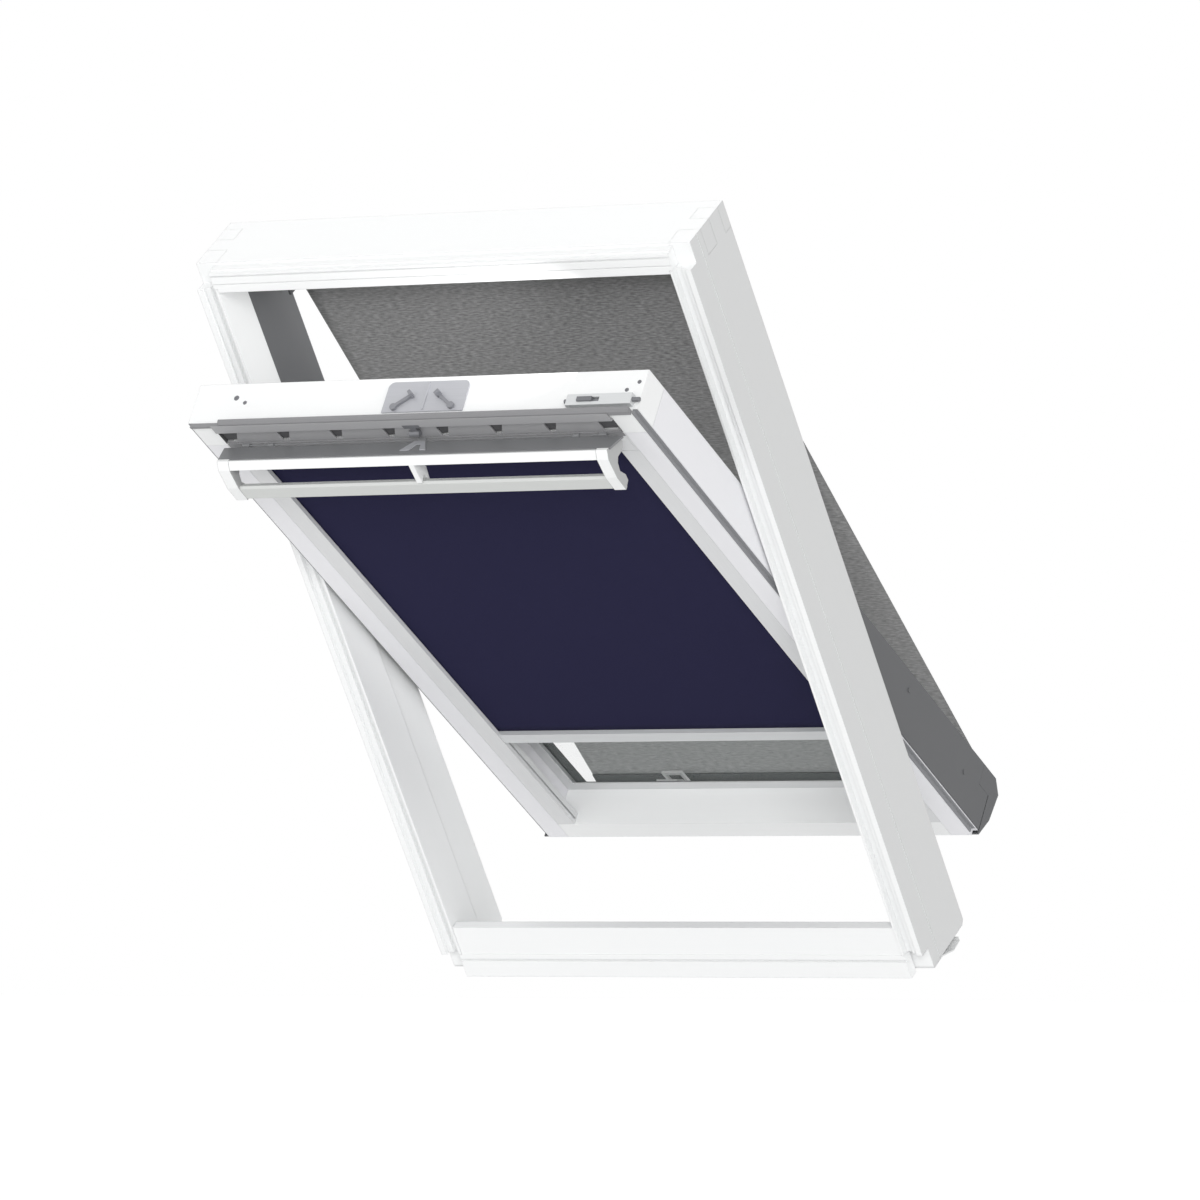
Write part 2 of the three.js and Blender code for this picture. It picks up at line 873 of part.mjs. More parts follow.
// The section of a sheet whose outer face follows the given points, thickened to their left.
function sheetOf(points, thick) {
  const normals = points.slice(1).map(([a, b], index) => {
    const [fromA, fromB] = points[index];
    const length = Math.hypot(a - fromA, b - fromB);
    return [-(b - fromB) / length, (a - fromA) / length];
  });
  const inner = points.map(([a, b], index) => {
    const before = normals[Math.max(index - 1, 0)];
    const after = normals[Math.min(index, normals.length - 1)];
    const share = thick / (1 + before[0] * after[0] + before[1] * after[1]);
    return [a + share * (before[0] + after[0]), b + share * (before[1] + after[1])];
  });
  return [...points, ...inner.reverse()];
}

// The slim middle of the bottom cladding slopes from its brow up to the glass.
function slimSlope() {
  const start = sashBottom - cladding.endRoom;
  const foot = [claddingOut, start - cladding.slimBrow];
  const peak = [glassOut + gap + cladding.sheet, start + cladding.slimTop];
  return { foot, peak };
}

// The bottom cladding wraps the sash's lower end. It is slim along the middle, and each corner is
// boxed up to the side cladding's height.
function bottomCladding() {
  const start = sashBottom - cladding.endRoom;
  const sheet = cladding.sheet;
  const coverEnd = claddingFace - cladding.cover;
  const under = [
    [sash.room, start],
    [sash.room, start - sheet],
    [cladding.kneeOut - sash.room, start - cladding.kneeDrop],
    [cladding.toeOut - sash.room, start - cladding.toeDrop],
  ];
  const { foot, peak } = slimSlope();
  const middle = sheetOf([...under, foot, peak, [peak[0], peak[1] + sheet]], sheet);
  const boxed = [...under, [claddingOut, start - cladding.brow], [claddingOut, bottomCoverTop()]];
  const corners = sides.flatMap(({ sign }) => [
    alongU(sheetOf([...boxed, [glassOut + gap, bottomCoverTop()]], sheet),
      ...sideRange(sign, coverEnd, claddingFace)),
    alongU([
      ...boxed,
      [cornerOut + gap, bottomCoverTop()],
      [cornerOut + gap, start],
    ], ...sideRange(sign, claddingFace - sheet, claddingFace)),
    alongU([
      foot,
      [claddingOut, bottomCoverTop()],
      [glassOut + gap, bottomCoverTop()],
      [glassOut + gap, peak[1]],
    ], ...sideRange(sign, coverEnd, coverEnd + sheet)),
  ]);
  const run = alongU(middle, -coverEnd - sheet, coverEnd + sheet);
  return piece("bottom_cladding", join(run, ...corners), finish.darkMetal);
}

function upperTrim({ name, sign }) {
  const near = claddingFace - cladding.cover;
  const far = near + trim.cover;
  const foot = near + trim.foot;
  const at = (across, out) => [sign * across, out];
  const profile = [
    at(near, glassOut + gap),
    at(near, glassOut + gap + trim.sheet),
    at(far, glassOut + gap + trim.sheet),
    at(foot + trim.footWide, sashOut + gap + trim.sheet),
    at(foot + trim.footWide, sashOut + gap),
    at(foot, sashOut + gap),
    at(far - trim.sheet, glassOut + gap),
  ];
  const low = pivot.up - cladding.pivotClear + gap;
  return piece(`upper_trim_${name}`, alongS(profile, low, lightTop - glazing.gasket), finish.darkMetal);
}

function headTrim() {
  const low = lightTop - glazing.gasket + gap;
  const edge = paneTop;
  const profile = [
    [glassOut + gap, low],
    [glassOut + gap + trim.sheet, low],
    [glassOut + gap + trim.sheet, edge + 2 * gap],
    [sashOut + gap + trim.sheet, edge + trim.headFoot],
    [sashOut + gap, edge + trim.headFoot],
    [sashOut + gap, edge + trim.headFoot - trim.sheet],
    [glassOut + gap, edge + gap],
  ];
  const half = claddingFace - cladding.cover + trim.cover;
  return piece("head_trim", alongU(profile, -half, half), finish.darkMetal);
}

function lockPlate() {
  const half = lock.wide / 2;
  const near = lock.from;
  const far = lock.from + lock.deep;
  const shape = new THREE.Shape();
  shape.moveTo(lock.offset - half, near);
  shape.lineTo(lock.offset + half, near);
  shape.lineTo(lock.offset + half, far - lock.corner);
  shape.absarc(lock.offset + half - lock.corner, far - lock.corner, lock.corner, 0, Math.PI / 2);
  shape.lineTo(lock.offset - half + lock.corner, far);
  shape.absarc(lock.offset - half + lock.corner, far - lock.corner, lock.corner, Math.PI / 2, Math.PI);
  shape.closePath();
  const plate = extruded(shape, lock.thick).translate(0, 0, sashTop + gap);
  const ridge = box(
    [lock.offset - lock.ridge / 2, lock.offset + lock.ridge / 2],
    [near + lock.ridge, far - lock.ridge],
    [sashTop + lock.thick / 2, sashTop + gap + lock.thick + lock.ridgeHigh],
  );
  return piece("lock_plate", join(plate, ridge), finish.steel);
}

// Each catch turns flat on the lock plate, about its round end.
function lockCatch({ name, sign }) {
  const floor = sashTop + gap + lock.thick + gap;
  const arm = box([-lock.catchWide / 2, lock.catchWide / 2], [0, lock.catchLong], [0, lock.catchThick]);
  const round = rodS(lock.catchRadius, 0, 0, [0, lock.catchThick]);
  const hook = box(
    [-lock.hook / 2, lock.hook / 2],
    [lock.catchLong - lock.catchWide, lock.catchLong],
    [0, lock.catchThick + lock.hookHigh],
  );
  const head = join(arm, round, hook).rotateZ(rad(sign < 0 ? -lock.catchTurn : lock.catchTurn));
  head.translate(lock.offset + sign * lock.catchAcross, lock.catchOut, floor);
  return piece(`lock_catch_${name}`, head, finish.midGrey);
}

function boltPlate() {
  const far = sashHalf - bolt.housingEnd;
  const near = far - bolt.housing;
  const housing = box([near, far], [bolt.from, bolt.from + bolt.deep],
    [sashTop + gap, sashTop + gap + bolt.high]);
  const bore = rodU(bolt.radius + pivot.running, [near - overrun, far + overrun],
    boltMiddle, boltAxis);
  const slot = box(
    [near + bolt.slotStart, near + bolt.slotStart + bolt.slot],
    [boltMiddle - bolt.radius - gap, boltMiddle + bolt.radius + gap],
    [boltAxis, sashTop + bolt.high + overrun],
  );
  return piece("barrel_bolt_plate", cut(housing, bore, slot), finish.aluminium);
}

function barrelBolt() {
  const tip = sashHalf + bolt.end;
  const shaft = rodU(bolt.radius, [tip - bolt.long, tip], boltMiddle, boltAxis);
  const knob = box(
    [tip - bolt.knobFrom - bolt.knobLong / 2, tip - bolt.knobFrom + bolt.knobLong / 2],
    [boltMiddle - bolt.radius, boltMiddle + bolt.radius],
    [boltAxis, boltAxis + bolt.knob],
  );
  return piece("barrel_bolt", join(shaft, knob), finish.midGrey);
}

function ventGrille() {
  const half = recessHalf - gap;
  const floor = lightTop + sash.recessUp + gap;
  const roof = floor + grille.high;
  const from = -sash.room + grille.setBack;
  const bandLow = lightTop + sash.recessUp + sash.recess - gap - grille.web;
  const bandOut = -sash.room - grille.bandProud;
  const plate = box([-half, half], [from, from + grille.thick], [floor, roof + grille.roof]);
  const feet = sides.map(({ sign }) => sideBox(
    sign,
    [half - grille.foot, half],
    [from, -sash.room + sash.recessDepth - gap],
    [floor, floor + grille.sill],
  ));
  const web = box([-half, half], [bandOut, from + grille.thick], [bandLow, bandLow + grille.web]);
  const band = box([-half, half], [bandOut, bandOut + grille.bandThick],
    [bandLow, bandLow + grille.band]);
  const gaps = Array.from({ length: grille.count }, (_, index) => {
    const middle = -sashHalf + grille.first + index * grille.pitch;
    const last = index === grille.count - 1;
    const left = index ? middle - grille.gapBottom / 2 : -half - overrun;
    const right = last ? half + overrun : middle + grille.gapBottom / 2;
    const rightHigh = last ? right : middle - grille.gapBottom / 2 + grille.gapTop;
    return alongN(shapeOf([
      [left, floor + grille.sill],
      [right, floor + grille.sill],
      [rightHigh, roof],
      [left, roof],
    ]), from - overrun / 5, from + grille.thick + overrun / 5);
  });
  const latchNotch = box(
    [-latch.wide / 2 - gap, latch.wide / 2 + gap],
    [bandOut - overrun, -sash.room],
    [bandLow - overrun, latchTop() + gap],
  );
  return piece("vent_grille", cut(join(plate, web, band, ...feet), ...gaps, latchNotch),
    finish.greyPlastic);
}

function ventStrip() {
  const profile = [
    [-sash.room - strip.proud, sashTop + gap],
    [-sash.room - strip.proud, sashTop + strip.up - strip.bevel],
    [-sash.room, sashTop + strip.up],
    [-sash.room + strip.back, sashTop + strip.up],
    [-sash.room + strip.back, sashTop + gap],
  ];
  const step = box(
    [-cornerIn - overrun, -cornerIn + strip.stepLong],
    [-sash.room - strip.proud - overrun, -sash.room + strip.back + overrun],
    [sashTop + strip.stepUp, sashTop + strip.up + overrun],
  );
  return piece("vent_strip", cut(alongU(profile, -cornerIn, cornerIn), step), finish.darkRubber);
}

function latchTop() {
  return lightTop + sash.recessUp + sash.recess + latch.up / 2;
}

function centreLatch() {
  const front = -sash.room - gap;
  const high = lightTop + sash.recessUp + sash.recess;
  const plate = box(
    [-latch.wide / 2, latch.wide / 2],
    [front - latch.thick, front],
    [high - latch.up, latchTop()],
  );
  const arm = box(
    [-latch.boss, latch.boss],
    [front - latch.thick, front],
    [high - latch.high, high],
  );
  const boss = rodU(
    latch.boss,
    [-latch.bossLong / 2, latch.bossLong / 2],
    front - latch.boss,
    high - latch.high + latch.boss,
  );
  const behind = box([-halfWidth, halfWidth], [front, front + latch.boss], [0, top]);
  return piece("centre_latch", cut(join(plate, arm, boss), behind), finish.midGrey);
}

// The control bar's pieces are drawn about its hinge line, then hung on it.
function barHinge() {
  return { n: -sash.room - bar.hingeOut, t: lightTop + bar.hingeUp };
}

function barLugs() {
  const { n, t } = barHinge();
  const starts = [-barHalf + bar.lugInset, -bar.lug / 2, barHalf - bar.lugInset - bar.lug];
  const blocks = starts.map((start) => box(
    [start, start + bar.lug],
    [n, -sash.room - gap],
    [t - bar.lugHigh, t + 2 * bar.pin],
  ));
  const rounds = starts.map((start) => rodU(2 * bar.pin, [start, start + bar.lug], n, t));
  const pin = rodU(bar.pin, [-barHalf + bar.lugInset, barHalf - bar.lugInset], n, t, facets.small);
  return piece("bar_hinge_pin", join(pin, ...blocks, ...rounds), finish.steel);
}

// The corners of the handle's face, each an (n, t) distance from the hinge line.
function barFace() {
  const front = [-bar.flapReach, bar.flapRise];
  const stripLow = [front[0] - bar.stripReach, front[1] - bar.stripDrop];
  const gripHigh = [stripLow[0] - bar.slotReach, stripLow[1] - bar.slotDrop];
  const gripLow = [gripHigh[0] - bar.gripReach, gripHigh[1] - bar.gripDrop];
  return [front, stripLow, gripHigh, gripLow];
}

// The four corners of a board whose outer face runs from one point to another.
function boardOf([n0, t0], [n1, t1], depth) {
  const length = Math.hypot(n1 - n0, t1 - t0);
  const inN = (-(t1 - t0) / length) * depth;
  const inT = ((n1 - n0) / length) * depth;
  return [[n0, t0], [n1, t1], [n1 + inN, t1 + inT], [n0 + inN, t0 + inT]];
}

function barFlap() {
  const length = Math.hypot(bar.flapReach, bar.flapRise);
  const out = new THREE.Vector3(0, -bar.flapReach / length, bar.flapRise / length);
  const across = new THREE.Vector3(1, 0, 0);
  const down = across.clone().cross(out);
  const end = length - bar.shell - 2 * gap;
  const wide = (distance) => barHalf + bar.flapBack * (1 - distance / length);
  const board = extruded(shapeOf([
    [-wide(bar.flapStart), bar.flapStart],
    [wide(bar.flapStart), bar.flapStart],
    [wide(end), end],
    [-wide(end), end],
  ]), bar.flapThick).applyMatrix4(new THREE.Matrix4().makeBasis(across, out, down));
  const starts = [-barHalf + bar.armInset, barHalf - bar.armInset - bar.arm];
  const knuckles = starts.map((start) => {
    const arm = extruded(shapeOf([
      [start, 0],
      [start + bar.arm, 0],
      [start + bar.arm, 2 * bar.flapStart],
      [start, 2 * bar.flapStart],
    ]), bar.flapThick - gap).applyMatrix4(new THREE.Matrix4().makeBasis(across, out, down));
    const bore = rodU(bar.pin + pivot.running, [start - overrun, start + bar.arm + overrun], 0, 0,
      facets.small);
    return cut(join(rodU(bar.knuckle, [start, start + bar.arm], 0, 0), arm), bore);
  });
  return piece("bar_flap", join(board, ...knuckles), finish.darkMetal);
}

function barHandle() {
  const [front, stripLow, gripHigh, gripLow] = barFace();
  const inner = barHalf - bar.post;
  const reach = gripLow[0];
  const drop = gripLow[1];
  const placed = (shares) => shares.map(([alongN, alongT]) => [alongN * reach, alongT * drop]);
  const strip = alongU(boardOf(front, stripLow, bar.shell), -inner + gap, inner - gap);
  const tie = alongU([
    stripLow,
    [gripHigh[0], gripHigh[1] + gap],
    ...placed(tieShares),
  ], -bar.tie / 2, bar.tie / 2);
  const grip = alongU([
    [gripHigh[0] + gap, gripHigh[1] - bar.gripBevel],
    [gripLow[0], gripLow[1] + bar.gripBevel],
    [gripLow[0] + bar.gripBevel, gripLow[1]],
    [gripLow[0] + bar.gripDeep - bar.gripBevel, gripLow[1]],
    [gripLow[0] + bar.gripDeep, gripLow[1] + bar.gripBevel],
    [gripHigh[0] + bar.gripDeep - gap, gripHigh[1] - 2 * bar.gripBevel],
    [gripHigh[0] + bar.gripBevel, gripHigh[1] - gap],
  ], -inner + gap, inner - gap);
  const slope = Math.atan2(bar.flapRise, bar.flapReach);
  const underN = -Math.sin(slope) * (bar.flapThick + gap);
  const underT = -Math.cos(slope) * (bar.flapThick + gap);
  const along = (distance) => [-Math.cos(slope) * distance, Math.sin(slope) * distance];
  const length = Math.hypot(bar.flapReach, bar.flapRise);
  const ends = sides.map(({ name, sign }) => {
    const face = [front, stripLow, gripHigh, gripLow];
    const post = face.slice(1).map((point, index) => alongU(
      boardOf(face[index], point, bar.shell),
      ...sideRange(sign, inner, barHalf),
    ));
    const [backN, backT] = along(bar.flapStart);
    const [tipN, tipT] = along(length - bar.shell - gap);
    const cheek = alongU([
      ...face,
      ...placed(cheekShares),
      [backN + underN, backT + underT],
      [tipN + underN, tipT + underT],
      [tipN, tipT],
    ], ...sideRange(sign, inner, barHalf));
    return piece(`bar_end_${name}`, join(cheek, ...post), finish.lacquer);
  });
  return [
    piece("bar_front_strip", join(strip, tie), finish.lacquer),
    piece("bar_grip", grip, finish.greyPlastic),
    ...ends,
  ];
}

function blackoutChannel({ name, sign }) {
  const inner = lightHalf - gap - blackout.channel;
  const outer = lightHalf - gap;
  const slotLow = blackout.clothOut - sash.room - blackout.channelSlot / 2;
  const at = (across, out) => [sign * across, out];
  const profile = [
    at(inner, -sash.room),
    at(outer, -sash.room),
    at(outer, -sash.room + blackout.channelDeep),
    at(inner, -sash.room + blackout.channelDeep),
    at(inner, slotLow + blackout.channelSlot),
    at(inner + blackout.channelBite, slotLow + blackout.channelSlot),
    at(inner + blackout.channelBite, slotLow),
    at(inner, slotLow),
  ];
  const high = lightTop - gap - blackout.cassetteHigh - gap;
  return piece(`blackout_channel_${name}`, alongS(profile, lightBottom + gap, high), finish.greyPlastic);
}

function blackoutPlaces() {
  const cassetteTop = lightTop - gap;
  const clothN = blackout.clothOut - sash.room;
  return {
    cassetteTop,
    cassetteBottom: cassetteTop - blackout.cassetteHigh,
    clothN,
    rollerN: clothN + blackout.roll,
    rollerT: cassetteTop - blackout.cassetteHigh / 2,
    barTop: lightTop - blackout.barDown,
  };
}

function blackoutBlind() {
  const place = blackoutPlaces();
  const half = lightHalf - gap;
  const wall = blackout.sheet;
  const near = -sash.room + gap;
  const far = near + blackout.cassetteDeep;
  const mouthFrom = place.clothN - blackout.mouth / 2;
  const shell = cut(
    box([-half + blackout.cap + gap, half - blackout.cap - gap], [near, far],
      [place.cassetteBottom, place.cassetteTop]),
    box([-half - overrun, half + overrun], [near + wall, far - wall],
      [place.cassetteBottom + wall, place.cassetteTop - wall]),
    box([-half - overrun, half + overrun], [mouthFrom, mouthFrom + blackout.mouth],
      [place.cassetteBottom - overrun, place.cassetteBottom + wall + overrun]),
  );
  const caps = sides.map(({ name, sign }) => {
    const cap = sideBox(sign, [half - blackout.cap, half], [near, far],
      [place.cassetteBottom, place.cassetteTop]);
    const stub = rodU(
      blackout.bearing,
      sideRange(sign, half - blackout.cap - blackout.bearingLong, half - blackout.cap / 2),
      place.rollerN,
      place.rollerT,
    );
    return piece(`blackout_end_${name}`, join(cap, stub), finish.greyPlastic);
  });
  const rollHalf = half - blackout.cap - gap;
  const rollerSolid = cut(
    rodU(blackout.roll, [-rollHalf, rollHalf], place.rollerN, place.rollerT, facets.roller),
    ...sides.map(({ sign }) => rodU(
      blackout.bearing + pivot.running,
      sideRange(sign, rollHalf - blackout.bearingLong - gap, rollHalf + overrun),
      place.rollerN,
      place.rollerT,
    )),
  );
  const clothHalf = half - blackout.channel + blackout.clothBite;
  const clothNear = place.clothN - blackout.cloth / 2;
  const cloth = box([-clothHalf, clothHalf], [clothNear - gap / 2, clothNear + blackout.cloth - gap * 2],
    [place.barTop + gap, place.rollerT]);
  const barHalf = half - blackout.channel - gap;
  const barLow = place.barTop - blackout.barHigh;
  const rail = box([-barHalf, barHalf], [0, blackout.barDeep], [barLow, place.barTop]);
  const tongueMiddle = place.barTop - blackout.barHigh / 2;
  const tongues = box(
    [-clothHalf, clothHalf],
    [place.clothN - blackout.barTongue / 2, place.clothN + blackout.barTongue / 2],
    [tongueMiddle - blackout.barTongueHigh / 2, tongueMiddle + blackout.barTongueHigh / 2],
  );
  return [
    piece("blackout_cassette", shell, finish.greyPlastic),
    ...caps,
    piece("blackout_roller", rollerSolid, finish.navy),
    piece("blackout_cloth", cloth, finish.navy),
    piece("blackout_bar", join(rail, tongues), finish.aluminium),
  ];
}

function sashPieces() {
  return [
    sashHead(),
    sashSill(),
    ...sides.map(sashSide),
    ...sides.map(sideSeal),
    ...glazingUnit(),
    ...sides.map(sashPivotPlate),
    ...sides.map(sideCladding),
    bottomCladding(),
    ...sides.map(upperTrim),
    headTrim(),
    lockPlate(),
    ...sides.map(lockCatch),
    boltPlate(),
    barrelBolt(),
    ventGrille(),
    ventStrip(),
    centreLatch(),
    barLugs(),
    ...blackoutBlind(),
    ...sides.map(blackoutChannel),
    ...sides.map(awningHook),
  ];
}

// The awning bar hangs from the sash's lower end, so its place follows the sash.
function awningBarClosed() {
  return { n: claddingOut + awning.hookOut, t: sashBottom - awning.hookDown };
}

function awningGeometry() {
  const closed = awningBarClosed();
  const turn = rad(sashTurn);
  const dn = closed.n - pivotOut;
  const dt = closed.t - pivot.up;
  const barN = pivotOut + dn * Math.cos(turn) - dt * Math.sin(turn);
  const barS = pivot.up + dn * Math.sin(turn) + dt * Math.cos(turn);
  const tangentN = frame.depth + awning.tangentOut;
  const tangentS = top - awning.tangentDown;
  return {
    barN,
    barS,
    lean: Math.atan2(barN - tangentN, tangentS - barS),
    length: Math.hypot(barN - tangentN, tangentS - barS),
  };
}

// Each hook's foot lies on the bottom cladding's slope. Its arm reaches down to the bar's rod, and a
// keeper stands over the arm.
function awningHook({ name, sign }) {
  const { n, t } = awningBarClosed();
  const middle = sign * awning.hookAcross;
  const across = [middle - awning.hookWide / 2, middle + awning.hookWide / 2];
  const { foot, peak } = slimSlope();
  const slope = Math.hypot(peak[0] - foot[0], peak[1] - foot[1]);
  const along = [(peak[0] - foot[0]) / slope, (peak[1] - foot[1]) / slope];
  const at = (distance, proud) => [
    foot[0] + along[0] * distance + along[1] * proud,
    foot[1] + along[1] * distance - along[0] * proud,
  ];
  const plate = alongU([
    at(0, gap),
    at(awning.hookFoot, gap),
    at(awning.hookFoot, gap + awning.hookThick),
    at(0, gap + awning.hookThick),
  ], ...across);
  const arm = alongU([
    at(awning.hookThick, gap),
    at(0, gap),
    [n - awning.rod, t - awning.rod - awning.hookThick],
    [n + awning.rod, t - awning.rod - awning.hookThick],
    [n + awning.rod + awning.hookThick, t],
    [n, t],
    [n - awning.rod - awning.hookThick, t + awning.rod],
    at(awning.hookThick, gap + awning.hookThick),
  ], ...across);
  const keeperRange = [claddingOut + awning.keeperOut, claddingOut + awning.keeperOut + awning.keeper];
  const keeperTop = sashBottom + awning.keeperTop;
  const crossbar = box(across, keeperRange, [keeperTop - awning.keeperHigh, keeperTop]);
  const legs = [across[0], across[1] - awning.keeperLeg].map((start) => box(
    [start, start + awning.keeperLeg],
    keeperRange,
    [sashBottom - awning.keeperLow, keeperTop],
  ));
  const seat = rodU(awning.rod + pivot.running, [across[0] - overrun, across[1] + overrun], n, t);
  return piece(`awning_hook_${name}`, cut(join(plate, arm, crossbar, ...legs), seat), finish.lacquer);
}

// The moving sheet is drawn about the bar's rod, with its length running up the group.
function awningSheet() {
  const { length } = awningGeometry();
  const railTop = awning.rod + awning.rail;
  const rail = join(
    rodU(awning.rod, [-awningHalf, awningHalf], 0, 0),
    box([-awningHalf, awningHalf], [-awning.railThick / 2, awning.railThick / 2], [0, railTop]),
  );
  const cloth = box([-awningHalf, awningHalf], [-awning.cloth / 2, awning.cloth / 2],
    [railTop + gap, length]);
  return [
    piece("awning_bar", rail, finish.darkMetal),
    piece("awning_cloth", cloth, finish.mesh),
  ];
}

function awningRollerPlace() {
  const { lean } = awningGeometry();
  const offset = awning.roll + awning.cloth;
  return {
    n: frame.depth + awning.tangentOut + offset * Math.cos(lean),
    s: top - awning.tangentDown + offset * Math.sin(lean),
  };
}

function awningCassette() {
  const roller = awningRollerPlace();
  const half = shellHalf;
  const floor = frame.depth + gap;
  const low = top - awning.shellBottom;
  const high = top - awning.shellTop;
  const crown = floor + awning.shellHigh;
  const slope = awning.shellShoulder / 2;
  const outer = [
    [floor, high],
    [floor + slope, high - slope],
    [crown, high - awning.shellShoulder],
    [crown, low + awning.shellNose],
    [crown - awning.shellNose, low],
    [floor + awning.shellMouth, low],
    [floor + awning.shellMouth, low + awning.shellSheet],
    [crown - awning.shellNose - awning.shellSheet / 2, low + awning.shellSheet],
    [crown - awning.shellSheet, low + awning.shellNose + awning.shellSheet / 2],
    [crown - awning.shellSheet, high - awning.shellShoulder - awning.shellSheet / 2],
    [floor + slope - awning.shellSheet, high - slope - awning.shellSheet],
    [floor + awning.shellSheet, high - 2 * awning.shellSheet],
    [floor + awning.shellSheet, headBottom],
    [floor, headBottom],
  ];
  const shell = alongU(outer, -half + awning.capThick + gap, half - awning.capThick - gap);
  const caps = sides.map(({ name, sign }) => {
    const cheek = alongU([
      [floor, high],
      [floor + slope, high - slope],
      [crown, high - awning.shellShoulder],
      [crown, low + awning.shellNose],
      [crown - awning.shellNose, low],
      [floor, low],
    ], ...sideRange(sign, half - awning.capThick, half));
    const stub = rodU(
      awning.bearing,
      sideRange(sign, half - awning.capThick - awning.bearingLong, half - awning.capThick / 2),
      roller.n,
      roller.s,
    );
    return piece(`awning_cap_${name}`, join(cheek, stub), finish.darkMetal);
  });
  const rollHalf = half - awning.capThick - gap;
  const roll = cut(
    rodU(awning.roll, [-rollHalf, rollHalf], roller.n, roller.s, facets.roller),
    ...sides.map(({ sign }) => rodU(
      awning.bearing + pivot.running,
      sideRange(sign, rollHalf - awning.bearingLong - gap, rollHalf + overrun),
      roller.n,
      roller.s,
    )),
  );
  return [
    piece("awning_cassette", shell, finish.darkMetal),
    ...caps,
    piece("awning_roller", roll, finish.mesh),
  ];
}

function framePieces() {
  return [
    frameHead(),
    frameSill(),
    ...sides.map(frameSide),
    sillFlange(),
    ...sides.map(sideHood),
    ...sides.map(framePivotPlate),
    strikerPlate(),
    boltSleeve(),
    ...awningCassette(),
  ];
}

// A group that turns its contents about a line across the window, in the window's own axes.
function turned(pieces, degrees, n, s) {
  const content = new THREE.Group();
  content.position.set(0, -n, -s);
  content.add(...pieces);
  const hinge = new THREE.Group();
  hinge.position.set(0, n, s);
  hinge.rotation.x = rad(degrees);
  hinge.add(content);
  return hinge;
}

function controlBar() {
  const { n, t } = barHinge();
  const group = new THREE.Group();
  group.position.set(0, n, t);
  group.add(barFlap(), ...barHandle());
  return group;
}

function awningGroup() {
  const { barN, barS, lean } = awningGeometry();
  const group = new THREE.Group();
  group.position.set(0, barN, barS);
  group.rotation.x = lean;
  group.add(...awningSheet());
  return group;
}

const upright = new THREE.Group();
upright.add(...framePieces());
upright.add(turned([...sashPieces(), controlBar()], sashTurn, pivotOut, pivot.up));
upright.add(awningGroup());

// The origin is the middle of the frame head's top face, where the window meets the roof above it.
upright.position.set(0, -frame.depth / 2, -top);
const leaning = new THREE.Group();
leaning.rotation.x = rad(90 - pitch);
leaning.add(upright);

const window = new THREE.Group();
window.add(leaning);

export default window;
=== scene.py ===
"""Looks of a centre-pivot roof window with a blackout blind inside and an awning blind outside.

Lengths in this file are millimetres until a mesh or a shader node is made, and metres after that. The
window has its own axes: u runs across it, n runs out through the roof, s runs up the fixed frame and t
runs up the sash, which is turned about its middle pivots.
"""

import logging
import math
from collections.abc import Callable, Iterator, Mapping, Sequence
from dataclasses import dataclass
from enum import Enum
from functools import cache
from typing import ClassVar

import bmesh
import bpy
import numpy as np
from mathutils import Matrix, Vector

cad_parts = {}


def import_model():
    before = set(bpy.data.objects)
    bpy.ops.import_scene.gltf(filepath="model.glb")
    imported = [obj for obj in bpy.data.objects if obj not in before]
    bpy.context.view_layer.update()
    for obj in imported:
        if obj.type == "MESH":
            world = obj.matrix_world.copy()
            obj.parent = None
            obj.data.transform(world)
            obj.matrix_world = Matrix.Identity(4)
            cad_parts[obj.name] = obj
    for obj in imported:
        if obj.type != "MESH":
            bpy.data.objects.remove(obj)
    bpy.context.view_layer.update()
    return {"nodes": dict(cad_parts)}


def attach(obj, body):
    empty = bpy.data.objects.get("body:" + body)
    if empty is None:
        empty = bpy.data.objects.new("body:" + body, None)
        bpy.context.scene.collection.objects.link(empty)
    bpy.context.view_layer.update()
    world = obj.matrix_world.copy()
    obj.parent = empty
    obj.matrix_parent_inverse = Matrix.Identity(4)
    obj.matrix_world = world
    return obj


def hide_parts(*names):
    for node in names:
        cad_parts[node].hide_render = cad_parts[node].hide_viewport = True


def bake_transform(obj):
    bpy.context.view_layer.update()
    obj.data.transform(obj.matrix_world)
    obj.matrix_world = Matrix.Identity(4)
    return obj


LOG = logging.getLogger("roof_window")
METRES = 0.001

Length = np.ndarray | float
Placer = Callable[[Length, Length, Length], np.ndarray]
Setting = float | int | str | bool | Sequence[float] | bpy.types.NodeSocket


class Way(Enum):
    """The direction that a pattern or a member runs in."""

    ACROSS = "u"
    UP_FRAME = "s"
    UP_SASH = "t"


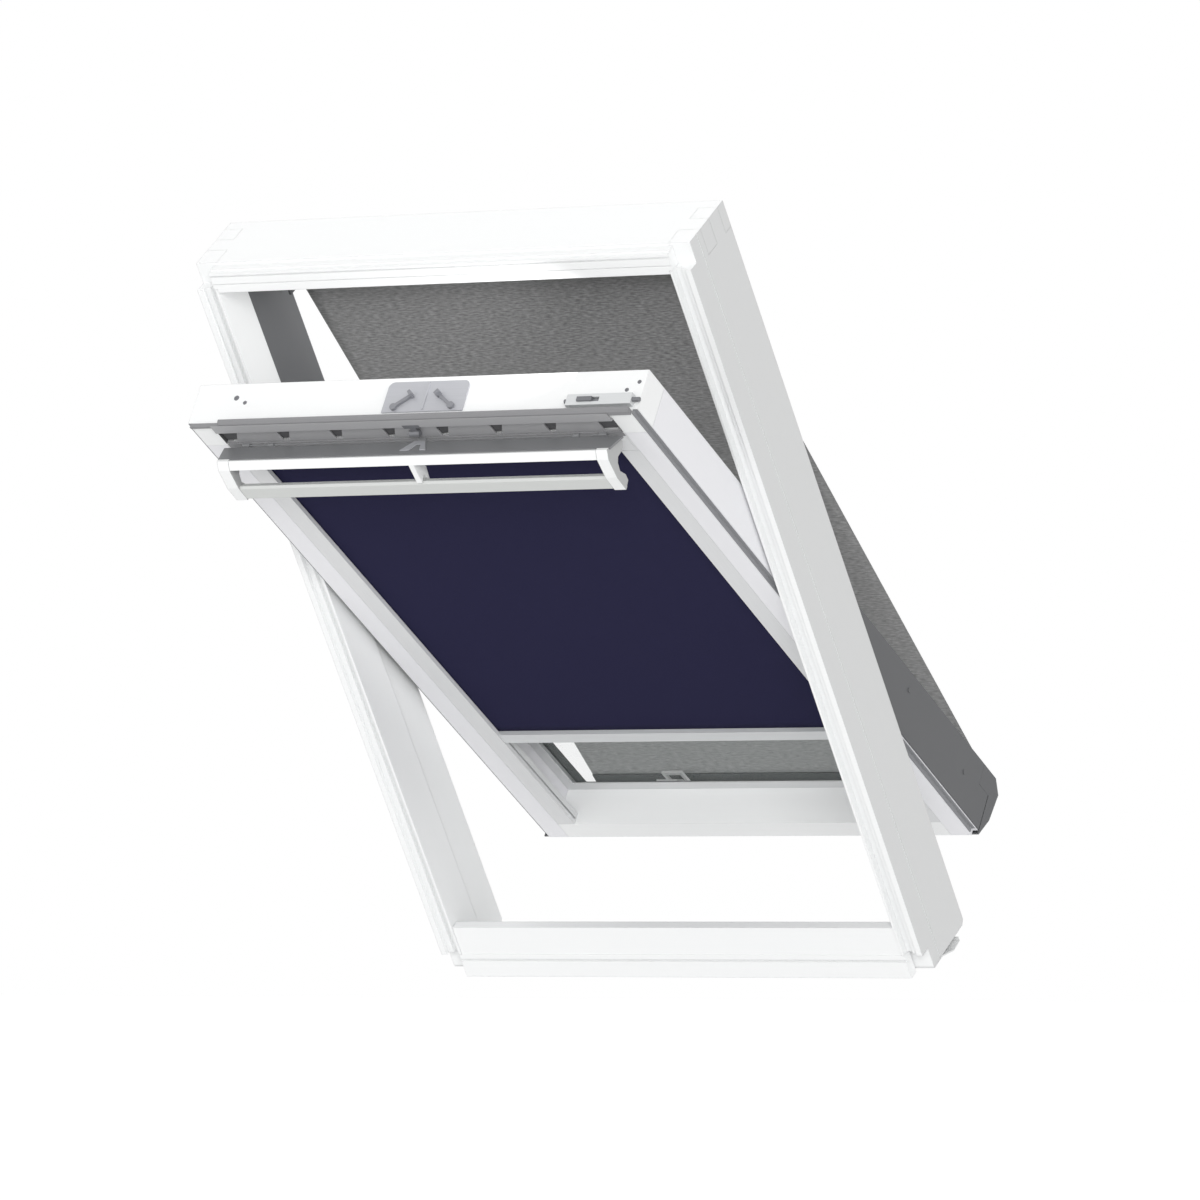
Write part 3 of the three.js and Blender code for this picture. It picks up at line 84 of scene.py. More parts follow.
@dataclass(frozen=True)
class WindowAxes:
    """Turns the window's own axes into the row's frame.

    Attributes:
        lean: how far the fixed frame leans back from upright, in degrees.
        turn: how far the sash is open, in degrees.
        half_depth: half of the frame's depth, where the row's origin lies.
        top: the frame's top, measured from its middle.
        pivot_out: the sash pivot's distance out from the frame's room face.
        pivot_up: the sash pivot's height over the frame's middle.
    """

    lean: float = 35.14
    turn: float = 24.8
    half_depth: float = 53.5
    top: float = 589.0
    pivot_out: float = 90.0
    pivot_up: float = 43.0

    def on_frame(self, u: Length, n: Length, s: Length) -> np.ndarray:
        """Places frame points in the row's frame.

        Args:
            u: distances across.
            n: distances out.
            s: distances up the frame.

        Returns:
            Points in metres, with x, y and z on the last axis.
        """
        u, n, s = np.broadcast_arrays(u, n, s)
        a = math.radians(self.lean)
        y, z = n - self.half_depth, s - self.top
        turned = (u, y * math.cos(a) - z * math.sin(a), y * math.sin(a) + z * math.cos(a))
        return np.stack(turned, axis=-1) * METRES

    def on_sash(self, u: Length, n: Length, t: Length) -> np.ndarray:
        """Places sash points in the row's frame, by turning them about the pivot first.

        Args:
            u: distances across.
            n: distances out, measured on the shut sash.
            t: distances up the sash.

        Returns:
            Points in metres, with x, y and z on the last axis.
        """
        u, n, t = np.broadcast_arrays(u, n, t)
        a = math.radians(self.turn)
        dn, dt = n - self.pivot_out, t - self.pivot_up
        out = self.pivot_out + dn * math.cos(a) - dt * math.sin(a)
        up = self.pivot_up + dn * math.sin(a) + dt * math.cos(a)
        return self.on_frame(u, out, up)

    def across_sash(self, n: Length, t: Length, u: Length) -> np.ndarray:
        """Places the points of a section that is carried across the sash."""
        return self.on_sash(u, n, t)


AXES = WindowAxes()


def linear(colour: str, share: float = 1.0) -> tuple[float, float, float, float]:
    """Turns an sRGB hex colour into linear light, by the standard curve.

    Args:
        colour: six hex digits, such as "f2f2f0".
        share: how light the result is, against the colour.

    Returns:
        Red, green, blue and an alpha of one.
    """
    parts = [int(colour[i : i + 2], 16) / 255 for i in (0, 2, 4)]
    light = [p / 12.92 if p <= 0.04045 else ((p + 0.055) / 1.055) ** 2.4 for p in parts]
    return (*(part * share for part in light), 1.0)


def set_inputs(node: bpy.types.Node, inputs: Mapping[str | int, Setting]) -> None:
    """Sets a node's inputs.

    Args:
        node: the node.
        inputs: values or output sockets for its inputs, by name or number.
    """
    for key, value in inputs.items():
        if isinstance(value, bpy.types.NodeSocket):
            node.id_data.links.new(value, node.inputs[key])
        else:
            node.inputs[key].default_value = value


def add_node(
    tree: bpy.types.NodeTree,
    kind: str,
    settings: Mapping[str, object],
    inputs: Mapping[str | int, Setting],
) -> bpy.types.Node:
    """Adds a shader node with its settings and its inputs.

    Args:
        tree: the node tree to add to.
        kind: the node's Blender type name.
        settings: properties of the node.
        inputs: values or output sockets for its inputs, by name or number.

    Returns:
        The new node.
    """
    node = tree.nodes.new(kind)
    for key, value in settings.items():
        setattr(node, key, value)
    set_inputs(node, inputs)
    return node


def window_vector(tree: bpy.types.NodeTree, way: Way, sizes: Sequence[float]) -> bpy.types.NodeSocket:
    """Gives pattern coordinates in the axes of the frame or of the sash.

    Args:
        tree: the material's node tree.
        way: which of the window's axes the third coordinate follows.
        sizes: how long one unit of the pattern is, along u, n and the third axis.

    Returns:
        The socket that carries the coordinates.
    """
    lean = AXES.lean + (AXES.turn if way is Way.UP_SASH else 0.0)
    place = add_node(tree, "ShaderNodeTexCoord", {}, {})
    turn = (-math.radians(lean), 0.0, 0.0)
    turned = add_node(tree, "ShaderNodeMapping", {}, {"Vector": place.outputs["Object"], "Rotation": turn})
    scale = tuple(1 / (size * METRES) for size in sizes)
    sized = add_node(tree, "ShaderNodeMapping", {}, {"Vector": turned.outputs[0], "Scale": scale})
    return sized.outputs[0]


def along_grain(way: Way, width: float, stretch: float) -> tuple[float, float, float]:
    """Gives a grain line's sizes along u, n and the third axis: long one way and narrow the others."""
    return (stretch * width, width, width) if way is Way.ACROSS else (width, width, stretch * width)


def relief(
    tree: bpy.types.NodeTree, height: bpy.types.NodeSocket, depth: float, felt: float, edge: float
) -> bpy.types.NodeSocket:
    """Raises a pattern on a surface and rounds the piece's edges.

    Args:
        tree: the node tree to add to.
        height: the socket that carries the pattern.
        depth: the pattern's depth.
        felt: how much of that depth is felt, from 0 to 1.
        edge: the radius of the rounded edges.

    Returns:
        The socket that carries the normal.
    """
    raised = {"Height": height, "Distance": depth * METRES, "Strength": felt}
    bump = add_node(tree, "ShaderNodeBump", {}, raised)
    rounding = {"Radius": edge * METRES, "Normal": bump.outputs[0]}
    return add_node(tree, "ShaderNodeBevel", {"samples": 4}, rounding).outputs[0]


def start_material(name: str) -> tuple[bpy.types.Material, bpy.types.NodeTree, bpy.types.Node]:
    """Starts a material around one Principled shader.

    Args:
        name: the material's name.

    Returns:
        The material, its node tree and the shader.
    """
    material = bpy.data.materials.new(name)
    material.use_nodes = True
    return material, material.node_tree, material.node_tree.nodes["Principled BSDF"]


@dataclass(frozen=True)
class PaintedShadeBand:
    """Where painted shade greys a coat: beyond one distance across the window, and within another.

    Attributes:
        tone: how light the painted shade is, against the full colour.
        beyond: the distance across beyond which shade is painted.
        within: the distance across within which it is painted too.
    """

    tone: float
    beyond: float
    within: float = 0.0

    def over(self, tree: bpy.types.NodeTree, colour: bpy.types.NodeSocket) -> bpy.types.NodeSocket:
        """Greys a colour with painted shade inside the bands.

        Args:
            tree: the node tree to add to.
            colour: the full coat's colour.

        Returns:
            The socket that carries the colour.
        """
        place = add_node(tree, "ShaderNodeTexCoord", {}, {})
        parts = add_node(tree, "ShaderNodeSeparateXYZ", {}, {0: place.outputs["Object"]})
        across = add_node(tree, "ShaderNodeMath", {"operation": "ABSOLUTE"}, {0: parts.outputs[0]})
        far = {0: across.outputs[0], 1: self.beyond * METRES}
        near = {0: across.outputs[0], 1: self.within * METRES}
        outside = add_node(tree, "ShaderNodeMath", {"operation": "GREATER_THAN"}, far)
        inside = add_node(tree, "ShaderNodeMath", {"operation": "LESS_THAN"}, near)
        either = {0: outside.outputs[0], 1: inside.outputs[0]}
        # Painted shade falls where either band holds.
        painted_shade = add_node(tree, "ShaderNodeMath", {"operation": "MAXIMUM"}, either)
        shade_scale = add_node(tree, "ShaderNodeMapRange", {}, {0: painted_shade.outputs[0], 3: 1.0, 4: self.tone})
        scaled = {0: colour, "Scale": shade_scale.outputs[0]}
        return add_node(tree, "ShaderNodeVectorMath", {"operation": "SCALE"}, scaled).outputs[0]


@dataclass(frozen=True)
class LacqueredPine:
    """Pine sprayed with white water-based lacquer: smooth, softly glossy, with a trace of the grain.

    Attributes:
        name: the material's name.
        colour: the lacquer's colour.
        way: the direction that the grain runs in.
        grain: the width of a grain line.
        stretch: how many times longer than wide a grain line is.
        shade: how light the grain lines are, against the colour.
        depth: how deep they are.
        felt: how much of that depth is felt, from 0 to 1.
        edge: the radius of the sanded edges.
        roughness: the gloss of the lacquer.
        painted_shade: where shade is painted on the lacquer, which is on the frame's outer side faces.
    """

    name: str
    colour: str
    way: Way
    grain: float = 3.0
    stretch: float = 60.0
    shade: float = 0.985
    depth: float = 0.012
    felt: float = 0.35
    edge: float = 1.2
    roughness: float = 0.42
    # Painted shade greys the frame's outer side faces.
    painted_shade: PaintedShadeBand = PaintedShadeBand(tone=0.73, beyond=389.6)

    def material(self) -> bpy.types.Material:
        """Makes the material: one noise, stretched along the grain, drives its tone and its relief.

        Returns:
            The material.
        """
        material, tree, shader = start_material(self.name)
        place = window_vector(tree, self.way, along_grain(self.way, self.grain, self.stretch))
        grain = add_node(tree, "ShaderNodeTexNoise", {}, {"Vector": place, "Scale": 1.0, "Detail": 3.0})
        tones = {0: grain.outputs["Fac"], 6: linear(self.colour), 7: linear(self.colour, self.shade)}
        tone = add_node(tree, "ShaderNodeMix", {"data_type": "RGBA"}, tones)
        look = {
            "Base Color": self.painted_shade.over(tree, tone.outputs[2]),
            "Normal": relief(tree, grain.outputs["Fac"], self.depth, self.felt, self.edge),
            "Roughness": self.roughness,
            "IOR": 1.5,
        }
        set_inputs(shader, look)
        return material


@dataclass(frozen=True)
class PowderCoat:
    """Aluminium sheet with a baked powder coat: an even colour with a very fine orange peel.

    Attributes:
        name: the material's name.
        colour: the coat's colour.
        roughness: the gloss of the coat.
        metallic: how much of the metal flake shows.
        peel: the size of the orange peel.
        depth: how deep the peel is.
        felt: how much of that depth is felt, from 0 to 1.
        edge: the radius of the folded edges.
        drift: how long the slow patches are in which the coat's tone drifts.
        shade: how light the darkest patches are, against the colour.
        painted_shade: where shade is painted on the coat, if anywhere.
    """

    name: str
    colour: str
    roughness: float = 0.45
    metallic: float = 0.0
    peel: float = 0.9
    depth: float = 0.03
    felt: float = 0.4
    edge: float = 0.6
    drift: float = 83.3333
    shade: float = 0.94
    painted_shade: PaintedShadeBand | None = None

    def material(self) -> bpy.types.Material:
        """Makes the material: a fine noise for the peel and a slow one for the tone.

        Returns:
            The material.
        """
        material, tree, shader = start_material(self.name)
        fine = window_vector(tree, Way.UP_FRAME, (self.peel,) * 3)
        peel = add_node(tree, "ShaderNodeTexNoise", {}, {"Vector": fine, "Scale": 1.0, "Detail": 2.0})
        slow = window_vector(tree, Way.UP_FRAME, (self.drift,) * 3)
        drift = add_node(tree, "ShaderNodeTexNoise", {}, {"Vector": slow, "Scale": 1.0})
        tones = {0: drift.outputs["Fac"], 6: linear(self.colour), 7: linear(self.colour, self.shade)}
        tone = add_node(tree, "ShaderNodeMix", {"data_type": "RGBA"}, tones).outputs[2]
        look = {
            "Base Color": self.painted_shade.over(tree, tone) if self.painted_shade else tone,
            "Normal": relief(tree, peel.outputs["Fac"], self.depth, self.felt, self.edge),
            "Roughness": self.roughness,
            "Metallic": self.metallic,
        }
        set_inputs(shader, look)
        return material


@dataclass(frozen=True)
class BrushedMetal:
    """Zinc-plated steel or anodised aluminium: bare metal with fine lines from rolling.

    Attributes:
        name: the material's name.
        colour: the metal's colour.
        metallic: how much it reflects as bare metal.
        way: the direction that the lines run in.
        roughness: how dull the metal is.
        line: the spacing of the rolled lines.
        stretch: how many times longer than wide a line is.
        shade: how light the lines are, against the colour.
        depth: how deep they are.
        felt: how much of that depth is felt, from 0 to 1.
        edge: the radius of the edges.
    """

    name: str
    colour: str
    metallic: float = 0.3
    way: Way = Way.ACROSS
    roughness: float = 0.4
    line: float = 0.6
    stretch: float = 80.0
    shade: float = 0.88
    depth: float = 0.03
    felt: float = 0.5
    edge: float = 0.4

    def material(self) -> bpy.types.Material:
        """Makes the material: one noise, stretched along the rolling, drives its tone and its relief.

        Returns:
            The material.
        """
        material, tree, shader = start_material(self.name)
        place = window_vector(tree, Way.UP_SASH, along_grain(self.way, self.line, self.stretch))
        lines = add_node(tree, "ShaderNodeTexNoise", {}, {"Vector": place, "Scale": 1.0, "Detail": 2.0})
        tones = {0: lines.outputs["Fac"], 6: linear(self.colour), 7: linear(self.colour, self.shade)}
        look = {
            "Base Color": add_node(tree, "ShaderNodeMix", {"data_type": "RGBA"}, tones).outputs[2],
            "Normal": relief(tree, lines.outputs["Fac"], self.depth, self.felt, self.edge),
            "Roughness": self.roughness,
            "Metallic": self.metallic,
        }
        set_inputs(shader, look)
        return material


@dataclass(frozen=True)
class MouldedPlastic:
    """Injection-moulded plastic or extruded rubber: dull, with a fine spark-eroded grain.

    Attributes:
        name: the material's name.
        colour: the plastic's colour.
        roughness: how dull it is.
        grain: the size of the mould's grain.
        depth: the depth of that grain.
        felt: how much of that depth is felt, from 0 to 1.
        shade: how light the painted shade in the pits' middles is, against the colour.
        edge: the radius of the edges.
    """

    name: str
    colour: str
    roughness: float = 0.5
    grain: float = 0.5
    depth: float = 0.02
    felt: float = 0.4
    shade: float = 0.95
    edge: float = 0.6

    def material(self) -> bpy.types.Material:
        """Makes the material: the distance to scattered points gives pits, with painted shade darkening their
        middles.

        Returns:
            The material.
        """
        material, tree, shader = start_material(self.name)
        place = window_vector(tree, Way.UP_SASH, (self.grain,) * 3)
        pits = add_node(tree, "ShaderNodeTexVoronoi", {}, {"Vector": place, "Scale": 1.0}).outputs["Distance"]
        # Painted shade: the pits' middles take the darker colour.
        tones = {0: pits, 6: linear(self.colour, self.shade), 7: linear(self.colour)}
        look = {
            "Base Color": add_node(tree, "ShaderNodeMix", {"data_type": "RGBA"}, tones).outputs[2],
            "Normal": relief(tree, pits, self.depth, self.felt, self.edge),
            "Roughness": self.roughness,
        }
        set_inputs(shader, look)
        return material


@dataclass(frozen=True)
class FloatGlass:
    """Clear float glass: nearly invisible, with a faint reflection that wanders slightly.

    Attributes:
        name: the material's name.
        colour: the glass's tint.
        cover: how much of what lies behind it the pane hides.
        wave: how long the slow waves from floating and rolling are.
        depth: how deep they are.
        felt: how much of that depth is felt, from 0 to 1.
    """

    name: str
    colour: str
    cover: float = 0.05
    wave: float = 333.3333
    depth: float = 0.1
    felt: float = 0.1

    def material(self) -> bpy.types.Material:
        """Makes the material: a thin cover of tint, with a slow noise as its waves.

        Returns:
            The material.
        """
        material, tree, shader = start_material(self.name)
        place = window_vector(tree, Way.UP_SASH, (self.wave,) * 3)
        waves = add_node(tree, "ShaderNodeTexNoise", {}, {"Vector": place, "Scale": 1.0}).outputs["Fac"]
        raised = {"Height": waves, "Distance": self.depth * METRES, "Strength": self.felt}
        look = {
            "Base Color": linear(self.colour),
            "Normal": add_node(tree, "ShaderNodeBump", {}, raised).outputs[0],
            "Roughness": 0.03,
            "IOR": 1.52,
            "Alpha": self.cover,
        }
        set_inputs(shader, look)
        return material


@dataclass(frozen=True)
class WovenCloth:
    """A woven blind cloth: blackout polyester, or the coated glass-fibre yarn of an awning.

    The yarns are finer than the render shows, so they are drawn at the stated spacing.

    Attributes:
        name: the material's name.
        colour: the yarn's colour.
        gap_colour: the colour between the yarns.
        warp: the spacing of the yarns across.
        weft: the spacing of the yarns along the cloth.
        fleck: the length and height of the uneven patches.
        fleck_strength: how far those patches change the colour, from 0 to 1.
        roughness: how dull the yarn is.
        through: the share of light that passes through from behind.
        gloss: the strength of its reflection.
        depth: how far a yarn stands out.
        felt: how much of that depth is felt, from 0 to 1.
        fleck_span: the part of the patches' noise over which the colour changes.
    """

    name: str
    colour: str
    gap_colour: str
    warp: float
    weft: float
    fleck: tuple[float, float]
    fleck_strength: float
    roughness: float = 0.85
    through: float = 0.0
    gloss: float = 0.08
    depth: float = 0.1
    felt: float = 0.5
    fleck_span: tuple[float, float] = (0.3, 0.7)

    def yarns(self, tree: bpy.types.NodeTree, place: bpy.types.NodeSocket) -> bpy.types.NodeSocket:
        """Crosses two waves, one along each set of yarns.

        Args:
            tree: the node tree to add to.
            place: the cloth's own coordinates in metres.

        Returns:
            The socket that is one on a crossing and nought between the yarns.
        """
        waves = []
        for direction, spacing in (("X", self.warp), ("Y", self.weft)):
            # The wave texture turns by 20 radians to a unit, so this scale gives one wave to a yarn.
            scale = 2 * math.pi / (20 * spacing * METRES)
            bands = {"bands_direction": direction}
            waves.append(add_node(tree, "ShaderNodeTexWave", bands, {"Vector": place, "Scale": scale}))
        crossed = {0: waves[0].outputs["Fac"], 1: waves[1].outputs["Fac"]}
        return add_node(tree, "ShaderNodeMath", {"operation": "MULTIPLY"}, crossed).outputs[0]

    def unevenness(self, tree: bpy.types.NodeTree, place: bpy.types.NodeSocket) -> bpy.types.NodeSocket:
        """Gives the factor by which the uneven patches lighten or darken the cloth.

        Args:
            tree: the node tree to add to.
            place: the cloth's own coordinates in metres.

        Returns:
            The socket that carries the factor.
        """
        scale = (*(1 / (size * METRES) for size in self.fleck), 1.0)
        sized = add_node(tree, "ShaderNodeMapping", {}, {"Vector": place, "Scale": scale}).outputs[0]
        flecks = add_node(tree, "ShaderNodeTexNoise", {}, {"Vector": sized, "Scale": 1.0, "Detail": 1.5})
        low, high = self.fleck_span
        span = {1: low, 2: high, 3: 1 - self.fleck_strength, 4: 1 + self.fleck_strength}
        return add_node(tree, "ShaderNodeMapRange", {}, {0: flecks.outputs["Fac"], **span}).outputs[0]

    def material(self) -> bpy.types.Material:
        """Makes the material on the cloth's own map, and lets light through where the cloth does.

        Returns:
            The material.
        """
        material, tree, shader = start_material(self.name)
        place = add_node(tree, "ShaderNodeUVMap", {"uv_map": "cloth"}, {}).outputs[0]
        yarns = self.yarns(tree, place)
        tones = {0: yarns, 6: linear(self.gap_colour), 7: linear(self.colour)}
        weave = add_node(tree, "ShaderNodeMix", {"data_type": "RGBA"}, tones).outputs[2]
        uneven = {0: weave, "Scale": self.unevenness(tree, place)}
        tone = add_node(tree, "ShaderNodeVectorMath", {"operation": "SCALE"}, uneven).outputs[0]
        raised = {"Height": yarns, "Distance": self.depth * METRES, "Strength": self.felt}
        look = {
            "Base Color": tone,
            "Normal": add_node(tree, "ShaderNodeBump", {}, raised).outputs[0],
            "Roughness": self.roughness,
            "Specular IOR Level": self.gloss,
        }
        set_inputs(shader, look)
        if self.through:
            lit = add_node(tree, "ShaderNodeBsdfTranslucent", {}, {"Color": tone}).outputs[0]
            shared = {0: self.through, 1: shader.outputs[0], 2: lit}
            mixed = add_node(tree, "ShaderNodeMixShader", {}, shared).outputs[0]
            set_inputs(tree.nodes["Material Output"], {0: mixed})
        return material


class Finish(Enum):
    """Every finish of the window."""

    # White lacquer, with the grain up the frame's sides.
    FRAME_UP = LacqueredPine("lacquered_pine_s", "f2f3f3", Way.UP_FRAME)
    # The same lacquer, with the grain across the heads and sills.
    FRAME_ACROSS = LacqueredPine("lacquered_pine_u", "f2f3f3", Way.ACROSS)
    # A slightly greyer and cooler coat of it up the sash's sides, as the picture shows them.
    SASH_UP = LacqueredPine("lacquered_pine_t", "ebebee", Way.UP_SASH)
    # White coat on the bar's front strip and the awning's hooks: clean and softly glossy.
    WHITE_METAL = PowderCoat("white_powder_coat", "f3f4f4")
    # Pale coat on the flange under the sill: a touch greyer than the lacquer above it.
    FLANGE_METAL = PowderCoat("pale_powder_coat", "dfe0e0")
    # Grey coat on the outer claddings: dark and dull, with a trace of flake.
    DARK_METAL = PowderCoat("grey_powder_coat", "5a5b5d", roughness=0.5, metallic=0.15)
    # The same grey on the side hoods, painted a little paler, as the picture shows them: painted light where
    # the lamps leave them in shade.
    HOOD_PAINTED_LIGHT = PowderCoat("hood_powder_coat", "6b6c6e", roughness=0.5, metallic=0.1)
    # Near-black coat on the awning's bottom bar: matt.
    RAIL_DARK = PowderCoat("dark_rail_coat", "1b1c1e", roughness=0.8)
    # Grey flap behind the control bar, and its hinge pin: mid grey and dull.
    BAR_DARK = PowderCoat("grey_anodised_flap", "828385", roughness=0.5, metallic=0.1)
    # White bar ends, whose inner and outer cheeks are greyed with painted shade.
    BAR_END = PowderCoat("bar_end_coat", "f3f4f4", painted_shade=PaintedShadeBand(tone=0.5, beyond=306.6, within=289.4))
    # Zinc plating on the lock's plates, the pivots and the flap's fork: pale grey with a cool tint.
    ZINC = BrushedMetal("zinc_plated_steel", "bcbdc2")
    # Clear anodising on the blind's bar, the pane spacer and the bolt's plate: pale and satin.
    ANODISED = BrushedMetal("anodised_aluminium", "d8dadb")
    # The blind's channels and cassette: satin anodising that reads as a pale grey, with no metal glint.
    CHANNEL = BrushedMetal("anodised_channel", "e0e1e2", metallic=0.0, way=Way.UP_SASH)
    # Blackened steel on the bolt, the centre latch and the screws: dark grey.
    DARK_STEEL = BrushedMetal("blackened_steel", "77787c")
    # Worn steel on the lock's catches: between the zinc and the blackened steel.
    WORN_STEEL = BrushedMetal("worn_catch_steel", "8e8f94")
    # Moulded grip of the control bar: pale, dull and slightly green.
    GRIP = MouldedPlastic("moulded_grip", "cfd1cf")
    # Moulded grille of the ventilation: mid grey.
    GRILLE = MouldedPlastic("moulded_grille", "a4a4a6")
    # Extruded strip under the grille: darker grey and duller.
    STRIP = MouldedPlastic("extruded_strip", "8a8a8c", roughness=0.7)
    # Rubber seals along the sash's sides: grey and matt.
    SEAL = MouldedPlastic("rubber_seal", "8f9093", roughness=0.8)
    # Pale gasket round the glass: matt, nearly white.
    GASKET = MouldedPlastic("rubber_gasket", "dedfe0", roughness=0.7)
    # Open-cell foam of the air filter, with coarse pits; its dark grey is painted shade of the recess behind
    # the grille, and the same colour is painted shade on the recess's end walls.
    SHADOW_FOAM = MouldedPlastic("filter_foam", "58585a", roughness=0.95, grain=1.5, depth=0.4)
    # The two panes: clear, with a faint green tint.
    GLASS = FloatGlass("float_glass", "e6f0ee")
    # Navy cloth: fine, even and without gloss.
    BLACKOUT = WovenCloth(
        "blackout_polyester", "2b2a47", "25243e", 0.9, 0.9, (3.0, 3.0), 0.03, roughness=0.95
    )
    # Grey mesh: pale yarn that looks mid grey from the shaded side, with uneven flecks across it.
    AWNING = WovenCloth("awning_glass_yarn", "c6c6c6", "aaaaaa", 1.6, 2.2, (10.0, 2.4), 0.2, through=0.7)


@cache
def material_of(finish: Finish) -> bpy.types.Material:
    """Makes a finish's material the first time, and gives the same one after that."""
    return finish.value.material()


def mesh_object(
    name: str,
    points: np.ndarray,
    faces: Sequence[Sequence[int]],
    material: bpy.types.Material,
    uv: np.ndarray | None = None,
    smooth: bool = False,
) -> bpy.types.Object:
    """Makes an object at the origin from points in metres.

    Args:
        name: the piece's name.
        points: one row of x, y and z for each vertex.
        faces: vertex numbers of each face.
        material: the piece's material.
        uv: one row of two lengths in metres for each vertex.
        smooth: whether its faces are shaded smooth.

    Returns:
        The object.
    """
    mesh = bpy.data.meshes.new(name)
    mesh.from_pydata(points.reshape(-1, 3).tolist(), [], [list(f) for f in faces])
    mesh.update()
    if uv is not None:
        layer = mesh.uv_layers.new(name="cloth")
        corners = np.empty(len(mesh.loops), dtype=np.int32)
        mesh.loops.foreach_get("vertex_index", corners)
        layer.data.foreach_set("uv", uv.reshape(-1, 2)[corners].astype(np.float32).ravel())
    mesh.polygons.foreach_set("use_smooth", [smooth] * len(mesh.polygons))
    mesh.materials.append(material)
    piece = bpy.data.objects.new(name, mesh)
    bpy.context.scene.collection.objects.link(piece)
    return piece


def grid_faces(rows: int, columns: int, wrap: bool = False) -> np.ndarray:
    """Numbers the corners of a grid's faces, four for each.

    Args:
        rows: how many rows of points the grid has.
        columns: how many points each row has.
        wrap: whether the last column joins the first.

    Returns:
        One row of four vertex numbers for each face.
    """
    across = columns if wrap else columns - 1
    row, column = np.meshgrid(np.arange(rows - 1), np.arange(across), indexing="ij")
    here, above = row * columns, (row + 1) * columns
    after = (column + 1) % columns
    corners = (here + column, here + after, above + after, above + column)
    return np.stack(corners, axis=-1).reshape(-1, 4)


def outward(piece: bpy.types.Object, merge: float = 0.001) -> bpy.types.Object:
    """Merges a closed piece's doubles and turns its faces outwards.

    Args:
        piece: the object to mend.
        merge: the distance under which points are one.

    Returns:
        The same object.
    """
    shell = bmesh.new()
    shell.from_mesh(piece.data)
    bmesh.ops.remove_doubles(shell, verts=shell.verts, dist=merge * METRES)
    bmesh.ops.recalc_face_normals(shell, faces=shell.faces)
    shell.to_mesh(piece.data)
    shell.free()
    return piece


def bar_of_section(
    name: str,
    outline: Sequence[tuple[float, float]],
    ends: tuple[float, float],
    place: Placer,
    finish: Finish,
    round_off: float = 0.0,
) -> bpy.types.Object:
    """Carries a closed outline along a straight path, caps it and rounds its edges.

    Args:
        name: the piece's name.
        outline: the section's corners.
        ends: where the path starts and ends.
        place: puts (first, second, along) arrays into the row's frame.
        finish: the piece's finish.
        round_off: the radius of its edges, or 0 for sharp ones.

    Returns:
        The object.
    """
    corners = np.array(outline, dtype=float)
    along = np.array(ends, dtype=float)[:, None]
    points = place(corners[None, :, 0], corners[None, :, 1], along)
    count = len(corners)
    faces = [tuple(f) for f in grid_faces(2, count, wrap=True)]
    faces += [tuple(range(count)), tuple(range(count, 2 * count))]
    piece = outward(mesh_object(name, points, faces, material_of(finish)))
    if round_off:
        soften = piece.modifiers.new("edges", "BEVEL")
        soften.width = round_off * METRES
        soften.segments = 2
        soften.limit_method = "ANGLE"
    return piece


@dataclass(frozen=True)
class PanScrew:
    """A pan-head screw with a cross recess, seen from its head.

    Attributes:
        radius: the head's radius.
        rise: how far it stands up.
        foot: how far its rim reaches into the wood.
        slot_depth: how deep the recess is.
        slot_reach_share: how far the recess reaches, against the radius.
        slot_width_share: half of a slot's width, against its reach.
        crown: the power of the cosine, under 1 for a head that is flatter on top.
        rim: the power of the sine, under 1 for a steeper rim.
        rings: how many rings of points the head has.
        spokes: how many points go round.
    """

    radius: float
    rise: float = 1.1
    foot: float = 0.5
    slot_depth: float = 0.7
    slot_reach_share: float = 0.6
    slot_width_share: float = 0.3
    crown: float = 0.7
    rim: float = 0.6
    rings: int = 10
    spokes: int = 32

    def profile(self) -> tuple[np.ndarray, np.ndarray]:
        """Gives the head's heights and radii, ring by ring, from its middle to the foot's middle.

        The head is a quarter ellipse whose cosine and sine are raised to a power each.

        Returns:
            The heights and the radii of the rings.
        """
        angle = np.linspace(0, np.pi / 2, self.rings)
        heights = np.append(self.rise * np.cos(angle) ** self.crown, [-self.foot, -self.foot])
        radii = np.append(self.radius * np.sin(angle) ** self.rim, [self.radius, 0.0])
        return heights[:, None], radii[:, None]

    def recess(self, first: np.ndarray, second: np.ndarray) -> np.ndarray:
        """Gives the cross recess: full depth on two crossed bars, none outside them.

        Args:
            first: one flat coordinate.
            second: the other one.

        Returns:
            The depth at each point.
        """
        reach = self.radius * self.slot_reach_share
        on_bar = np.minimum(np.abs(first), np.abs(second)) < reach * self.slot_width_share
        return np.where(on_bar & (np.hypot(first, second) < reach), self.slot_depth, 0.0)

    def build(self, name: str, place: Placer, finish: Finish) -> bpy.types.Object:
        """Turns the profile about its axis: height h and radius r give the point (r cos a, r sin a, h).

        Args:
            name: the piece's name.
            place: puts (first, second, height) arrays into the row's frame.
            finish: the piece's finish.

        Returns:
            The object.
        """
        heights, radii = self.profile()
        angle = np.linspace(0, 2 * np.pi, self.spokes, endpoint=False)[None, :]
        first, second = radii * np.cos(angle), radii * np.sin(angle)
        height = np.broadcast_to(heights, first.shape)
        height = height - np.where(height > 0, self.recess(first, second), 0.0)
        points = place(first, second, height)
        faces = grid_faces(len(heights), self.spokes, wrap=True)
        return outward(mesh_object(name, points, faces, material_of(finish), smooth=True))


